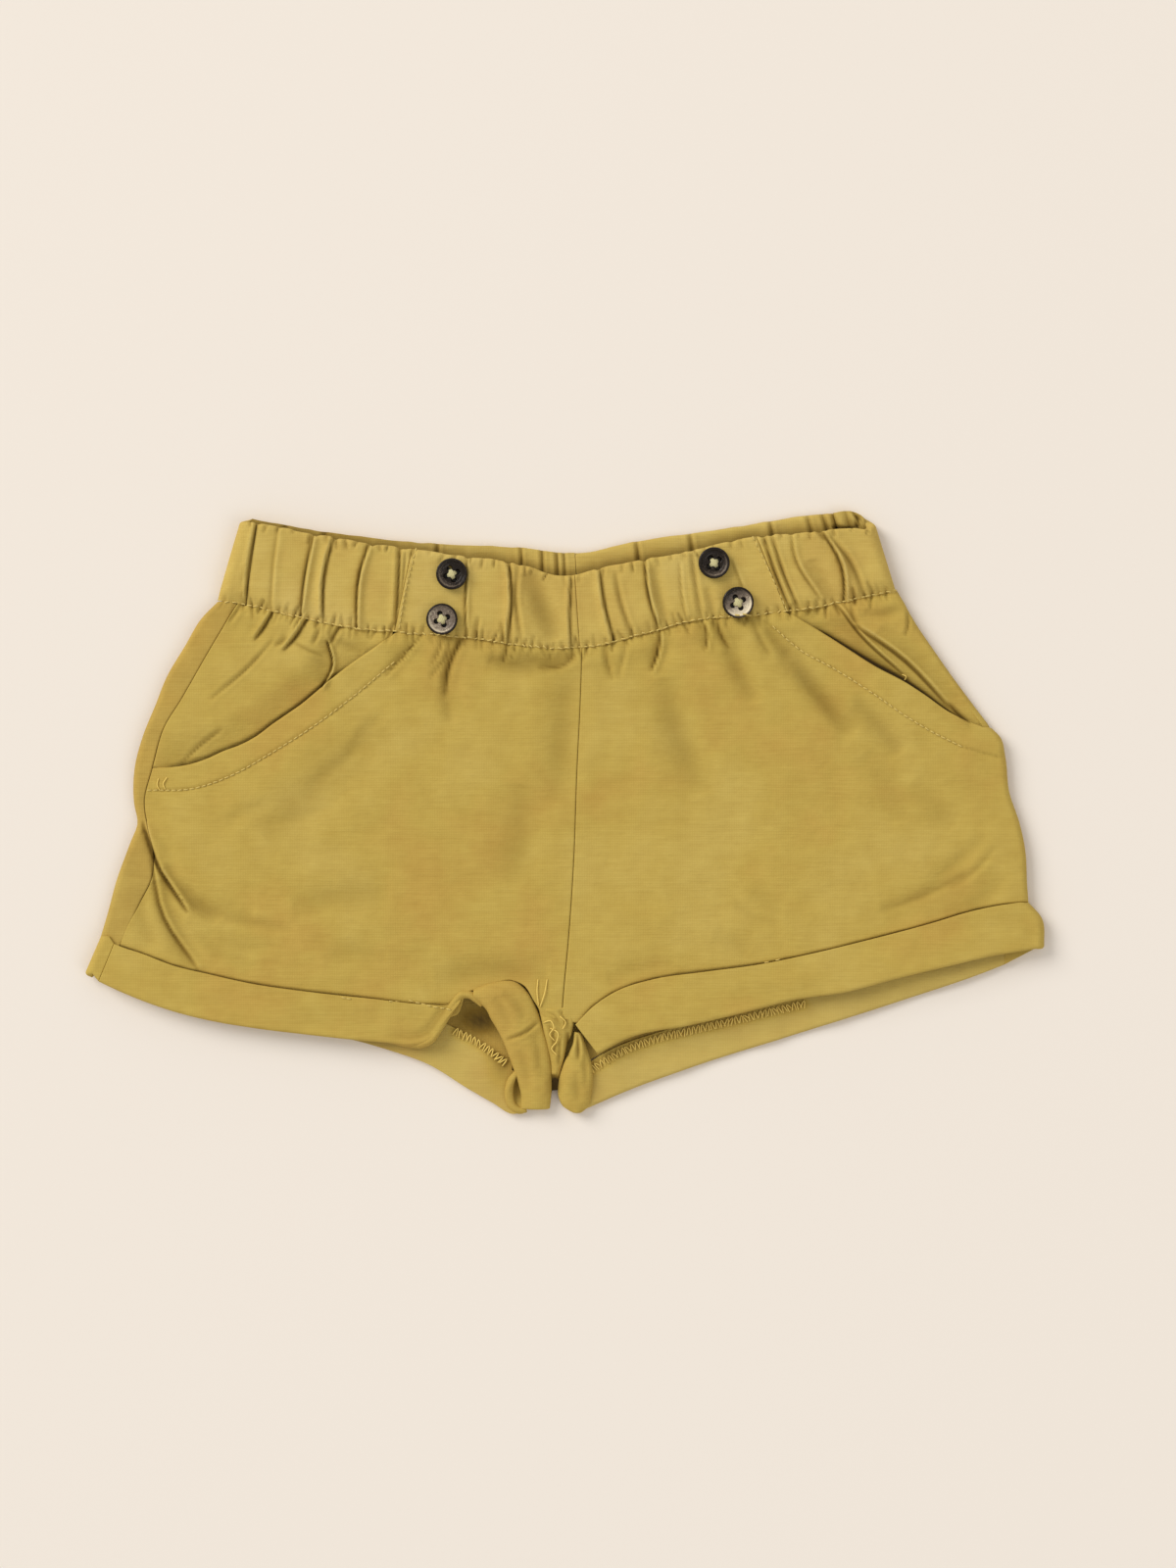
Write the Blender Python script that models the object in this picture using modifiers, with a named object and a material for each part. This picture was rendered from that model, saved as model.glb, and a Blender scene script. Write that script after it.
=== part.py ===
"""Baby shorts laid flat on a table.

A garment-dyed cotton pair with an elastic waist casing, two slanted side pockets with folded
bands, turned-up hems and four small buttons. Every piece that is cut and sewn is its own solid.

The frame is in metres with +X to the right of the garment as it lies, +Y towards the waist and
+Z up. The origin is on the table, under the middle of the garment's outline. All tables and
sizes below are in millimetres in that frame, and MM turns them into metres.
"""
import math
from collections import namedtuple

import bpy
import numpy as np

MM = 0.001

# Driving sizes
CLOTH = 1.2              # wall of the body cloth
HEM_WALL = 2.4           # turned-up hem, three layers pressed together
CASING_WALL = 3.0        # waist casing, two layers round the elastic
BAND_WALL = 1.8          # folded pocket band
SEAM_GAP = 0.3           # space between two pieces at a seam
EDGE_GAP = 0.6           # the same where the seam line bends, or a casing or hem ends on it
BODY_STACK = 4.8         # height of the side folds of the body
HEM_STACK = 5.8          # height of the side folds of the hems
CASING_STACK = 7.2       # height of the side folds of the waist casing
CROWN = 1.3              # rise of the front from the side folds to its middle
CROWN_REACH = 22.0       # how far from the side folds that rise is spread
CORNER = 1.5             # how far a smooth edge keeps from a corner, so that it doesn't overshoot
HEM_STEP = 1.2           # how much the turned-up hem stands above the front
HEM_WIDTH = 14.5         # turned-up hem, edge to edge
HEM_SLOPE = 3.4          # fall of the right hem between the side fold and the hidden side seam
HEM_SEAM_SHARE = 0.042   # place of the left side seam along the front hem
CASING_WIDTH = 25.5      # waist casing, edge to edge
SEAM_UNDER = 10.0        # the right side seam lies this far in under the garment
POCKET_TUCK = 6.0        # how far a pocket back reaches under its band
POCKET_DROP = 2.15       # how much lower a pocket back lies than the band over it
POCKET_SLOPE = 12.0      # distance from the band over which the pocket back sinks to that
BAND_WIDTH = 8.0         # folded pocket band, edge to edge
BAND_STEP = 0.2          # how much the pocket band stands above the front
RIDGE = 0.2              # how much the casing swells beside a pleat
END_DIP = 0.25           # how much the casing sinks at the seam at each of its ends
RIDGE_SHARES = (0.3, 0.72)  # places of the swellings between two pleats
GAPE = 0.9               # how much the right pocket mouth stands open
GAPE_REACH = 9.0         # width of cloth along the mouth that lifts with it
TURN_STEPS = 6           # faces round a side fold
BUTTON_SIZE = 10.2
BUTTON_HEIGHT = 2.3
BUTTON_SEAT = 0.35       # space under a button
BUTTON_SIDES = 20
BUTTON_HOLE = 1.5
BUTTON_HOLE_PLACE = 1.55  # from the middle of the button to the middle of a hole

Fold = namedtuple("Fold", "x0 y0 x1 y1 x2 y2 half_width height")
Pleat = namedtuple("Pleat", "top_x low_x depth")
Button = namedtuple("Button", "name x y turn")

# Outline and seams, x and y of the points that the shape needs
LEFT_SIDE = ((-113.3, 69.0), (-118.4, 63.8), (-124.2, 54.2), (-129.9, 44.6), (-133.8, 35.0),
             (-138.0, 24.5), (-140.6, 14.0), (-140.7, 3.0), (-139.6, -3.4), (-142.0, -10.0),
             (-146.6, -22.6), (-149.1, -32.2), (-151.2, -39.4))
LEFT_SEAM = ((-106.9, 66.6), (-115.2, 54.2), (-125.1, 37.0), (-130.6, 28.0), (-134.6, 14.4),
             (-137.2, 3.0), (-136.0, -4.6), (-134.4, -11.7), (-134.8, -21.3), (-138.9, -29.7),
             (-144.6, -41.4))
RIGHT_SIDE = ((108.8, 72.5), (113.6, 63.8), (120.0, 54.2), (126.7, 44.6), (133.8, 35.0),
              (139.3, 27.4), (142.6, 24.4), (144.2, 18.0), (145.4, 7.0), (148.8, -3.4),
              (150.6, -12.0), (151.2, -24.0), (151.6, -29.0))
CENTRE_SEAM = ((5.8, 53.8), (5.1, 33.8), (4.2, 15.8), (2.9, -18.4), (1.3, -41.4), (-0.6, -63.0))
BACK_SEAM = ((4.5, 59.4), (4.0, 15.0), (2.0, -30.0), (-2.0, -84.0))
FRONT_TOP = ((-104.3, 95.2), (-81.9, 91.0), (-59.5, 87.2), (-46.7, 85.6), (-31.4, 83.4),
             (-17.9, 81.4), (-1.9, 77.3), (3.5, 77.0), (10.9, 79.8), (26.9, 82.7), (39.7, 85.3),
             (58.9, 89.4), (73.6, 91.0), (87.7, 92.6), (101.4, 92.3))
FRONT_STITCH = ((-113.3, 69.0), (-104.6, 67.7), (-85.1, 63.2), (-67.8, 59.7), (-54.4, 58.7),
                (-43.8, 58.1), (-30.4, 56.8), (-7.4, 53.9), (5.0, 53.7), (23.4, 57.4),
                (45.4, 62.9), (63.0, 64.2), (73.0, 65.8), (85.1, 67.4), (97.3, 70.2),
                (108.8, 72.5))
BACK_TOP = ((-104.3, 96.4), (-91.5, 93.9), (-65.9, 90.1), (-40.3, 87.8), (-14.7, 86.6),
            (4.5, 85.0), (23.7, 88.8), (49.3, 92.6), (70.0, 95.9), (86.0, 98.0), (94.1, 98.3),
            (101.4, 94.5))
LEFT_MOUTH = ((-134.4, 14.9), (-125.8, 15.2), (-119.0, 16.8), (-111.7, 20.0), (-103.0, 23.5),
              (-94.4, 29.6), (-84.8, 36.3), (-77.4, 42.6), (-68.8, 49.3), (-62.1, 53.9),
              (-56.0, 58.2))
LEFT_TOPSTITCH = ((-135.4, 7.4), (-121.9, 7.8), (-107.8, 12.6), (-97.0, 18.7), (-82.2, 28.0),
                  (-70.1, 37.0), (-56.0, 48.8), (-46.0, 57.6))
RIGHT_MOUTH = ((73.0, 65.4), (80.6, 61.0), (86.4, 57.4), (92.8, 53.3), (101.4, 47.8),
               (111.0, 42.7), (118.4, 37.9), (126.7, 32.2), (132.5, 29.6), (139.6, 27.0))
RIGHT_TOPSTITCH = ((62.6, 63.6), (68.4, 60.4), (76.2, 53.6), (88.6, 46.6), (101.4, 38.4),
                   (109.8, 32.5), (119.4, 26.7), (129.0, 21.9), (144.2, 17.6))
LEFT_HEM_TOP = ((-151.4, -40.2), (-146.2, -43.0), (-137.6, -45.9), (-127.4, -49.8),
                (-115.8, -52.6), (-101.1, -55.8), (-85.1, -58.1), (-62.4, -60.6),
                (-45.1, -62.4), (-36.6, -62.2), (-32.4, -59.2))
LEFT_HEM_LOW = ((-156.9, -52.6), (-150.4, -55.8), (-137.6, -61.3), (-127.4, -64.8),
                (-115.8, -67.7), (-101.1, -70.2), (-85.1, -72.2), (-57.6, -75.0),
                (-47.4, -75.7), (-42.6, -73.6), (-38.4, -67.6), (-34.6, -62.8))
RIGHT_HEM_TOP = ((3.6, -69.0), (9.6, -62.9), (17.6, -57.8), (29.1, -54.2), (46.4, -51.7),
                 (63.4, -49.4), (80.6, -45.9), (97.6, -41.8), (120.6, -35.7), (132.2, -32.2),
                 (143.4, -29.9), (151.6, -29.2))
RIGHT_HEM_LOW = ((10.9, -78.6), (21.1, -73.4), (40.6, -69.3), (57.6, -65.4), (74.9, -61.0),
                 (92.2, -58.4), (109.1, -53.9), (126.4, -49.8), (138.9, -46.9), (147.4, -45.4),
                 (156.8, -44.4))
LEFT_BACK_HEM = ((-156.7, -53.0), (-149.1, -56.5), (-136.3, -61.6), (-123.5, -65.1),
                 (-110.7, -68.3), (-91.5, -71.4), (-72.3, -73.6), (-56.6, -77.9),
                 (-45.1, -81.8), (-30.4, -90.4), (-17.4, -97.6))
RIGHT_BACK_HEM = ((9.9, -95.8), (40.6, -83.7), (74.9, -72.8), (109.1, -61.9), (138.9, -51.7),
                  (156.6, -45.0))
LEFT_LEG_END = ((-31.0, -58.0), (-28.6, -57.6), (-16.6, -54.6), (-13.4, -56.0), (-9.6, -61.6),
                (-0.9, -63.0))
RIGHT_LEG_START = (0.9, -65.6)

# The inner thigh stretch of the left hem, seen on edge where it turns: inner edge, outer edge,
# and the height of its middle
Strip = namedtuple("Strip", "x0 y0 x1 y1 level")
LEFT_INNER = (Strip(-29.2, -61.4, -29.8, -58.4, 4.5), Strip(-25.8, -64.2, -23.6, -57.4, 4.5),
              Strip(-24.4, -66.4, -16.0, -55.6, 4.4), Strip(-23.2, -69.0, -10.2, -62.4, 4.3),
              Strip(-19.8, -74.6, -7.0, -70.6, 4.0), Strip(-18.2, -81.0, -5.2, -78.0, 3.6),
              Strip(-17.4, -88.0, -4.8, -86.0, 3.0), Strip(-16.9, -94.0, -5.0, -93.0, 2.3),
              Strip(-16.6, -98.3, -5.8, -98.4, 1.6))
RIGHT_INNER = (Strip(4.4, -70.6, 9.9, -78.6, 4.2), Strip(2.0, -76.5, 9.6, -81.6, 3.8),
               Strip(0.2, -84.0, 9.2, -86.5, 3.3), Strip(0.3, -91.0, 8.8, -91.2, 2.6),
               Strip(1.5, -98.2, 8.2, -96.2, 1.6))
CROTCH_FOLD = (Strip(-9.0, -64.0, 1.0, -66.8, 4.2), Strip(-6.2, -70.6, 2.6, -70.8, 3.9),
               Strip(-4.5, -77.8, 0.9, -77.6, 3.5), Strip(-4.1, -84.6, -0.7, -84.4, 3.0))

# Pleats of the gathered waist: where each one meets the top and the stitched edge
LEFT_SIDE_PLEATS = (Pleat(-93.3, -95.5, 0.5), Pleat(-87.5, -90.5, 0.3), Pleat(-81.6, -86.2, 1.0),
                    Pleat(-75.0, -79.0, 0.8), Pleat(-63.0, -67.7, 1.0), Pleat(-54.2, -57.4, 0.9))
LEFT_FRONT_PLEATS = (Pleat(-31.6, -32.2, 1.0), Pleat(-18.5, -18.9, 1.0), Pleat(-14.9, -14.0, 0.6),
                     Pleat(-10.4, -5.0, 0.7), Pleat(-1.0, 0.6, 0.5))
RIGHT_FRONT_PLEATS = (Pleat(10.9, 16.6, 1.0), Pleat(16.3, 22.7, 0.6), Pleat(25.9, 31.8, 1.0),
                      Pleat(35.0, 38.6, 0.6), Pleat(41.6, 45.2, 0.6))
RIGHT_SIDE_PLEATS = (Pleat(66.6, 76.8, 0.7), Pleat(73.6, 84.5, 0.7), Pleat(84.5, 92.4, 1.0),
                     Pleat(90.4, 98.4, 0.7), Pleat(97.6, 102.6, 0.4))
LEFT_BACK_PLEATS = (Pleat(-2.0, 0.0, 0.6), Pleat(-9.0, -8.0, 0.7), Pleat(-14.4, -13.6, 0.8),
                    Pleat(-27.0, -26.0, 0.5), Pleat(-41.3, -42.0, 0.9), Pleat(-52.0, -54.0, 0.6),
                    Pleat(-63.0, -66.0, 0.7), Pleat(-77.0, -81.0, 0.6), Pleat(-90.0, -95.0, 0.7))
RIGHT_BACK_PLEATS = (Pleat(12.0, 13.0, 0.6), Pleat(23.0, 25.0, 0.8), Pleat(40.3, 43.0, 0.9),
                     Pleat(52.0, 55.0, 0.5), Pleat(66.6, 71.0, 0.8), Pleat(78.7, 84.0, 0.7),
                     Pleat(84.5, 91.0, 0.8))

# The largest folds of the body: three points along each, its half width and its height
FOLDS = (
    Fold(-95.0, 66.0, -97.5, 62.0, -102.0, 56.0, 2.8, -0.8),
    Fold(-84.0, 61.5, -88.0, 57.5, -92.0, 53.0, 2.8, -0.8),
    Fold(-94.5, 57.0, -102.5, 48.0, -115.0, 37.5, 4.0, -0.7),
    Fold(-72.0, 61.0, -77.0, 54.0, -78.5, 42.0, 3.0, -0.9),
    Fold(-111.5, 27.5, -119.5, 21.5, -126.0, 15.5, 3.5, -0.4),
    Fold(-45.5, 56.0, -51.0, 52.5, -58.0, 44.5, 3.5, -0.5),
    Fold(-32.5, 57.5, -38.0, 47.5, -36.0, 30.0, 3.2, -1.0),
    Fold(-24.5, 51.0, -9.0, 47.5, 4.0, 51.5, 4.0, -0.9),
    Fold(1.0, 48.0, -0.5, 25.5, -3.0, 3.0, 5.0, -0.6),
    Fold(13.0, 54.0, 14.0, 49.0, 15.5, 43.5, 3.0, -0.5),
    Fold(31.0, 57.5, 30.5, 51.5, 28.5, 46.5, 3.0, -0.7),
    Fold(45.5, 61.5, 46.5, 57.5, 46.0, 53.0, 3.0, -0.6),
    Fold(50.0, 62.0, 54.0, 53.0, 62.0, 36.5, 3.5, -0.6),
    Fold(66.0, 60.0, 82.0, 40.0, 94.5, 26.0, 6.0, -1.3),
    Fold(94.5, 35.5, 101.5, 29.0, 109.5, 19.5, 4.0, -0.5),
    Fold(32.0, 43.5, 37.0, 25.0, 45.0, 6.0, 5.0, -0.8),
    Fold(88.0, 67.5, 94.5, 58.0, 108.0, 47.0, 3.2, -0.6),
    Fold(102.5, 59.5, 116.0, 49.0, 128.0, 36.0, 4.0, -0.7),
    Fold(-98.0, -8.0, -78.5, 11.0, -62.0, 26.0, 9.0, -1.0),
    Fold(-132.5, -12.5, -120.5, -31.5, -88.5, -38.0, 4.5, -0.8),
    Fold(-132.5, -12.5, -128.0, -30.5, -119.0, -46.0, 4.0, -0.7),
    Fold(-88.5, -30.5, -72.5, -27.5, -56.5, -26.5, 5.0, -0.5),
    Fold(-13.5, 9.5, -14.5, -6.5, -17.5, -24.0, 7.0, -0.8),
    Fold(-42.0, -53.0, -27.5, -50.5, -5.0, -51.0, 5.0, -0.7),
    Fold(103.5, -31.5, 119.5, -26.0, 132.5, -18.5, 5.0, -0.8),
    Fold(97.5, 19.0, 105.5, 9.5, 108.5, -3.5, 6.0, -0.5),
)

BUTTONS = (Button("button_left_upper", -36.6, 77.7, 0.3), Button("button_left_lower", -39.8, 63.0, 0.9),
           Button("button_right_upper", 48.7, 81.3, 0.1), Button("button_right_lower", 56.5, 68.4, 0.6))


# Plan curves

def measured(points):
    """Give the points as an array, with the distance run along them at each."""
    line = np.array(points, float)
    run = np.concatenate(([0.0], np.cumsum(np.linalg.norm(np.diff(line, axis=0), axis=1))))
    return line, run


def hermite(knots, values, place):
    """Read a smooth curve through values, given at knots, at one place."""
    slopes = np.gradient(values, knots, axis=0)
    index = int(np.clip(np.searchsorted(knots, place) - 1, 0, len(knots) - 2))
    span = knots[index + 1] - knots[index]
    t = (place - knots[index]) / span
    return ((2 * t ** 3 - 3 * t ** 2 + 1) * values[index]
            + (t ** 3 - 2 * t ** 2 + t) * span * slopes[index]
            + (3 * t ** 2 - 2 * t ** 3) * values[index + 1]
            + (t ** 3 - t ** 2) * span * slopes[index + 1])


def along(points):
    """Return a function from 0..1 to a plan point, even by length, through the points."""
    line, run = measured(points)
    return lambda t: hermite(run, line, t * run[-1])


def level(points):
    """Return y as a function of x for a line that runs from left to right."""
    line = np.array(points, float)
    return lambda x: float(hermite(line[:, 0], line[:, 1], x))


def side_x(points):
    """Return x as a function of y for a line that runs downwards."""
    line = np.array(points, float)[::-1]
    return lambda y: float(np.interp(y, line[:, 1], line[:, 0]))


def stretch(line_level, start_x, end_x, count=9):
    """List count points of a left-to-right line between two places."""
    return [(x, line_level(x)) for x in np.linspace(start_x, end_x, count)]


def shifted(points, distance):
    """Move a line sideways by distance, to the left of its own direction."""
    line, run = measured(points)
    direction = np.gradient(line, run, axis=0)
    direction /= np.linalg.norm(direction, axis=1)[:, None]
    return line + distance * np.column_stack((-direction[:, 1], direction[:, 0]))


def moved(points, dx, dy):
    """Move a line by a distance in x and one in y."""
    return [(x + dx, y + dy) for x, y in points]


def part_of(points, start, end, count):
    """List count points of the smooth line between two shares of its length."""
    curve = along(points)
    return [tuple(curve(t)) for t in np.linspace(start, end, count)]


def distance_to(points, x, y):
    """Distance from a plan point to a line, and the share of its length where it is nearest."""
    line, run = measured(points)
    steps = np.diff(line, axis=0)
    reach = np.array([x, y]) - line[:-1]
    share = np.clip((reach * steps).sum(1) / (steps ** 2).sum(1), 0, 1)
    gaps = np.linalg.norm(reach - share[:, None] * steps, axis=1)
    nearest = int(gaps.argmin())
    place = run[nearest] + share[nearest] * (run[nearest + 1] - run[nearest])
    return float(gaps[nearest]), float(place / run[-1])


front_top = level(FRONT_TOP)
front_stitch = level(FRONT_STITCH)
back_top = level(BACK_TOP)
left_side_x = side_x(LEFT_SIDE)
right_side_x = side_x(RIGHT_SIDE)


def back_stitch(x):
    """The stitched edge of the back casing, parallel to its top."""
    return back_top(x) - CASING_WIDTH


# Heights of the cloth

def ease(value):
    """Smooth step from 0 to 1."""
    t = min(max(value, 0.0), 1.0)
    return t * t * (3 - 2 * t)


def fold_height(x, y):
    """Sum of the large folds at a plan point."""
    total = 0.0
    for fold in FOLDS:
        route = ((fold.x0, fold.y0), (fold.x1, fold.y1), (fold.x2, fold.y2))
        gap, share = distance_to(route, x, y)
        fade = math.sqrt(max(math.sin(math.pi * min(max(share, 0.08), 0.92)), 0.0))
        total += fold.height * fade * math.exp(-(gap / fold.half_width) ** 2)
    return total


def lift(x, y):
    """Height of the front's outer face without folds: low at the side folds, higher inside."""
    inside = min(x - left_side_x(y), right_side_x(y) - x) - BODY_STACK / 2
    return BODY_STACK + CROWN * (1 - math.exp(-max(inside, 0.0) / CROWN_REACH))


def gape(x, y):
    """Extra height along the right pocket mouth, which stands a little open."""
    gap, share = distance_to(RIGHT_MOUTH, x, y)
    return GAPE * math.sin(math.pi * share) ** 2 * ease(1 - gap / GAPE_REACH)


def front_height(x, y):
    """Outer face of the front panels."""
    return lift(x, y) + fold_height(x, y) + gape(x, y)


def pocket_height(topstitch):
    """Return the outer face of a pocket back, which sinks under the band inside the topstitching."""
    def height(x, y):
        gap, _ = distance_to(topstitch, x, y)
        beyond = max(gap - BAND_WIDTH, 0.0) / POCKET_SLOPE
        return lift(x, y) + fold_height(x, y) * ease(beyond) - POCKET_DROP * ease(1 - beyond)
    return height


# Meshes

def collection(name):
    """Make a collection under the scene."""
    made = bpy.data.collections.new(name)
    bpy.context.scene.collection.children.link(made)
    return made


def material(name, colour, roughness, metallic=0.0):
    """Make a Principled material."""
    made = bpy.data.materials.new(name)
    made.use_nodes = True
    shader = made.node_tree.nodes["Principled BSDF"]
    shader.inputs["Base Color"].default_value = (*colour, 1.0)
    shader.inputs["Roughness"].default_value = roughness
    shader.inputs["Metallic"].default_value = metallic
    return made


def add_object(name, points, faces, finish, group):
    """Make a smooth-shaded object from points in millimetres."""
    mesh = bpy.data.meshes.new(name)
    mesh.from_pydata([tuple(float(c) * MM for c in point) for point in points], [], faces)
    mesh.update()
    mesh.materials.append(finish)
    mesh.shade_smooth()
    made = bpy.data.objects.new(name, mesh)
    group.objects.link(made)
    return made


def grid_faces(rows, columns, flip):
    """List the four-sided faces of a grid of points stored row by row."""
    faces = []
    for j in range(rows - 1):
        for i in range(columns - 1):
            a = j * columns + i
            face = (a, a + columns, a + columns + 1, a + 1)
            faces.append(face[::-1] if flip else face)
    return faces


def sheet(name, rows, finish, group, flip=False, wall=CLOTH):
    """Make a cloth wall behind a grid of points on its outer face.

    Rows run from the waist down and points from left to right, unless flip is set.
    """
    points = [point for row in rows for point in row]
    made = add_object(name, points, grid_faces(len(rows), len(rows[0]), flip), finish, group)
    solidify = made.modifiers.new("wall", "SOLIDIFY")
    solidify.thickness = wall * MM
    solidify.offset = -1.0
    solidify.use_even_offset = True
    return made


def loft(name, rings, finish, group):
    """Make a closed solid through rings of points, with flat ends."""
    count = len(rings[0])
    points = [point for ring in rings for point in ring]
    faces = []
    for j in range(len(rings) - 1):
        for i in range(count):
            a = j * count + i
            b = j * count + (i + 1) % count
            faces.append((a, b, b + count, a + count))
    faces.append(tuple(range(count))[::-1])
    last = (len(rings) - 1) * count
    faces.append(tuple(range(last, last + count)))
    return add_object(name, points, faces, finish, group)


# A station is one cross line of a band: its low and top ends in plan, the height of its middle,
# the direction in which it faces, and how far its outer and inner faces stand from the middle.
Station = namedtuple("Station", "low top level facing outer inner")

# Cross-section of a band from its low edge over the outer face to its top edge and back:
# share of the width, and share of the height of the outer (+) or inner (-) face.
HEM_SECTION = ((0.0, 0.0), (0.05, 0.8), (0.18, 1.0), (0.82, 1.0), (0.96, 0.75), (1.0, 0.0),
               (0.95, -0.9), (0.5, -1.0), (0.05, -0.9))
CASING_SECTION = ((0.0, 0.0), (0.02, 0.5), (0.14, 0.85), (0.5, 1.0), (0.86, 0.95), (0.97, 0.6),
                  (1.0, 0.0), (0.96, -0.9), (0.5, -1.0), (0.04, -0.9))


def band(name, stations, section, finish, group, flip=False):
    """Make a band of cloth through its stations."""
    rings = []
    for station in stations:
        low = np.array((*station.low, station.level))
        top = np.array((*station.top, station.level))
        facing = np.array(station.facing)
        ring = []
        for share, height in section:
            depth = height * (station.outer if height > 0 else station.inner)
            ring.append(low + (top - low) * share + facing * depth)
        rings.append(ring if flip else ring[::-1])
    return loft(name, rings, finish, group)


def patch(top, low, left, right, across, down):
    """Blend four edges into rows of plan points, running from top to low."""
    corners = (top(0.0) + left(0.0)) / 2, (top(1.0) + right(0.0)) / 2, low(0.0), low(1.0)
    rows = []
    for v in down:
        row = []
        for u in across:
            edges = (1 - v) * top(u) + v * low(u) + (1 - u) * left(v) + u * right(v)
            blend = ((1 - u) * (1 - v) * corners[0] + u * (1 - v) * corners[1]
                     + (1 - u) * v * corners[2] + u * v * corners[3])
            row.append(edges - blend)
        rows.append(row)
    return rows


def raised(rows, height):
    """Give plan rows their heights."""
    return [[(x, y, height(x, y)) for x, y in row] for row in rows]


def half_turn(inset, low_end, side, stack):
    """Points round a side fold, from the table up, between its lower and upper end in plan.

    The lower end is inset from the outline by half the stack, and side is -1 or +1.
    """
    points = []
    for k in range(1, TURN_STEPS):
        angle = math.pi * k / TURN_STEPS
        share = k / TURN_STEPS
        x = low_end[0] * (1 - share) + inset[0] * share + side * stack / 2 * math.sin(angle)
        y = low_end[1] * (1 - share) + inset[1] * share
        points.append((x, y, stack / 2 * (1 - math.cos(angle))))
    return points


def wrapped_rows(under, over, height, side, stack):
    """Join rows that lie on the table to rows on top, round the side fold between them.

    Both kinds of row start at the fold's inset line. The result runs from the inner end of the
    lower row, round the fold, to the inner end of the upper row.
    """
    rows = []
    for below, above in zip(under, over):
        row = [(x, y, 0.0) for x, y in reversed(below)]
        row += half_turn(above[0], below[0], side, stack)
        row += [(x, y, height(x, y)) for x, y in above]
        rows.append(row)
    return rows


def even(count):
    """Count steps from 0 to 1."""
    return np.linspace(0.0, 1.0, count + 1)


def straight_rows(start, end, count, down):
    """Rows of plan points between two edge curves, each row straight."""
    return [[start(v) * (1 - u) + end(v) * u for u in even(count)] for v in down]


# The body panels

def build_backs(finish, group):
    """The back panels: flat on the table, the left one rolled round to the seam on the front."""
    down = even(12)
    inset = BODY_STACK / 2
    left_fold = along(moved(LEFT_SIDE, inset, 0.0))
    seam = along(moved(LEFT_SEAM, -SEAM_GAP / 2, 0.0))
    hem_top = [tuple(p) for p in shifted(LEFT_BACK_HEM, HEM_WIDTH + EDGE_GAP)[2:-1]]
    crotch = BACK_SEAM[-1]
    inner_end = (LEFT_BACK_HEM[-1][0], crotch[1])
    low_edge = [left_fold(1.0)] + hem_top + [inner_end, (crotch[0] - SEAM_GAP / 2, crotch[1])]
    top_edge = stretch(back_stitch, LEFT_SIDE[0][0] + inset, BACK_SEAM[0][0] - SEAM_GAP / 2)
    top_edge = [tuple(left_fold(0.0))] + moved(top_edge, 0.0, -SEAM_GAP)[1:]
    middle = along(moved(BACK_SEAM, -SEAM_GAP / 2, -SEAM_GAP))
    under = patch(along(top_edge), along(low_edge), left_fold, middle, even(12), down)
    over = straight_rows(left_fold, seam, 3, down)
    rows = wrapped_rows(under, over, front_height, -1, BODY_STACK)
    sheet("back_left", rows, finish, group)

    seam_in = moved(RIGHT_SIDE, -SEAM_UNDER - SEAM_GAP, 0.0)
    hem_top = [tuple(p) for p in shifted(RIGHT_BACK_HEM, HEM_WIDTH + EDGE_GAP)[:-2]]
    low_edge = [(crotch[0] + SEAM_GAP / 2, crotch[1])] + hem_top + [seam_in[-1]]
    top_edge = stretch(back_stitch, BACK_SEAM[0][0] + SEAM_GAP / 2, seam_in[0][0])
    top_edge = moved(top_edge, 0.0, -SEAM_GAP)[:-1] + [seam_in[0]]
    middle = along(moved(BACK_SEAM, SEAM_GAP / 2, -SEAM_GAP))
    under = patch(along(top_edge), along(low_edge), middle, along(seam_in), even(12), down)
    sheet("back_right", raised(under, lambda x, y: 0.0), finish, group, flip=True)


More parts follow.
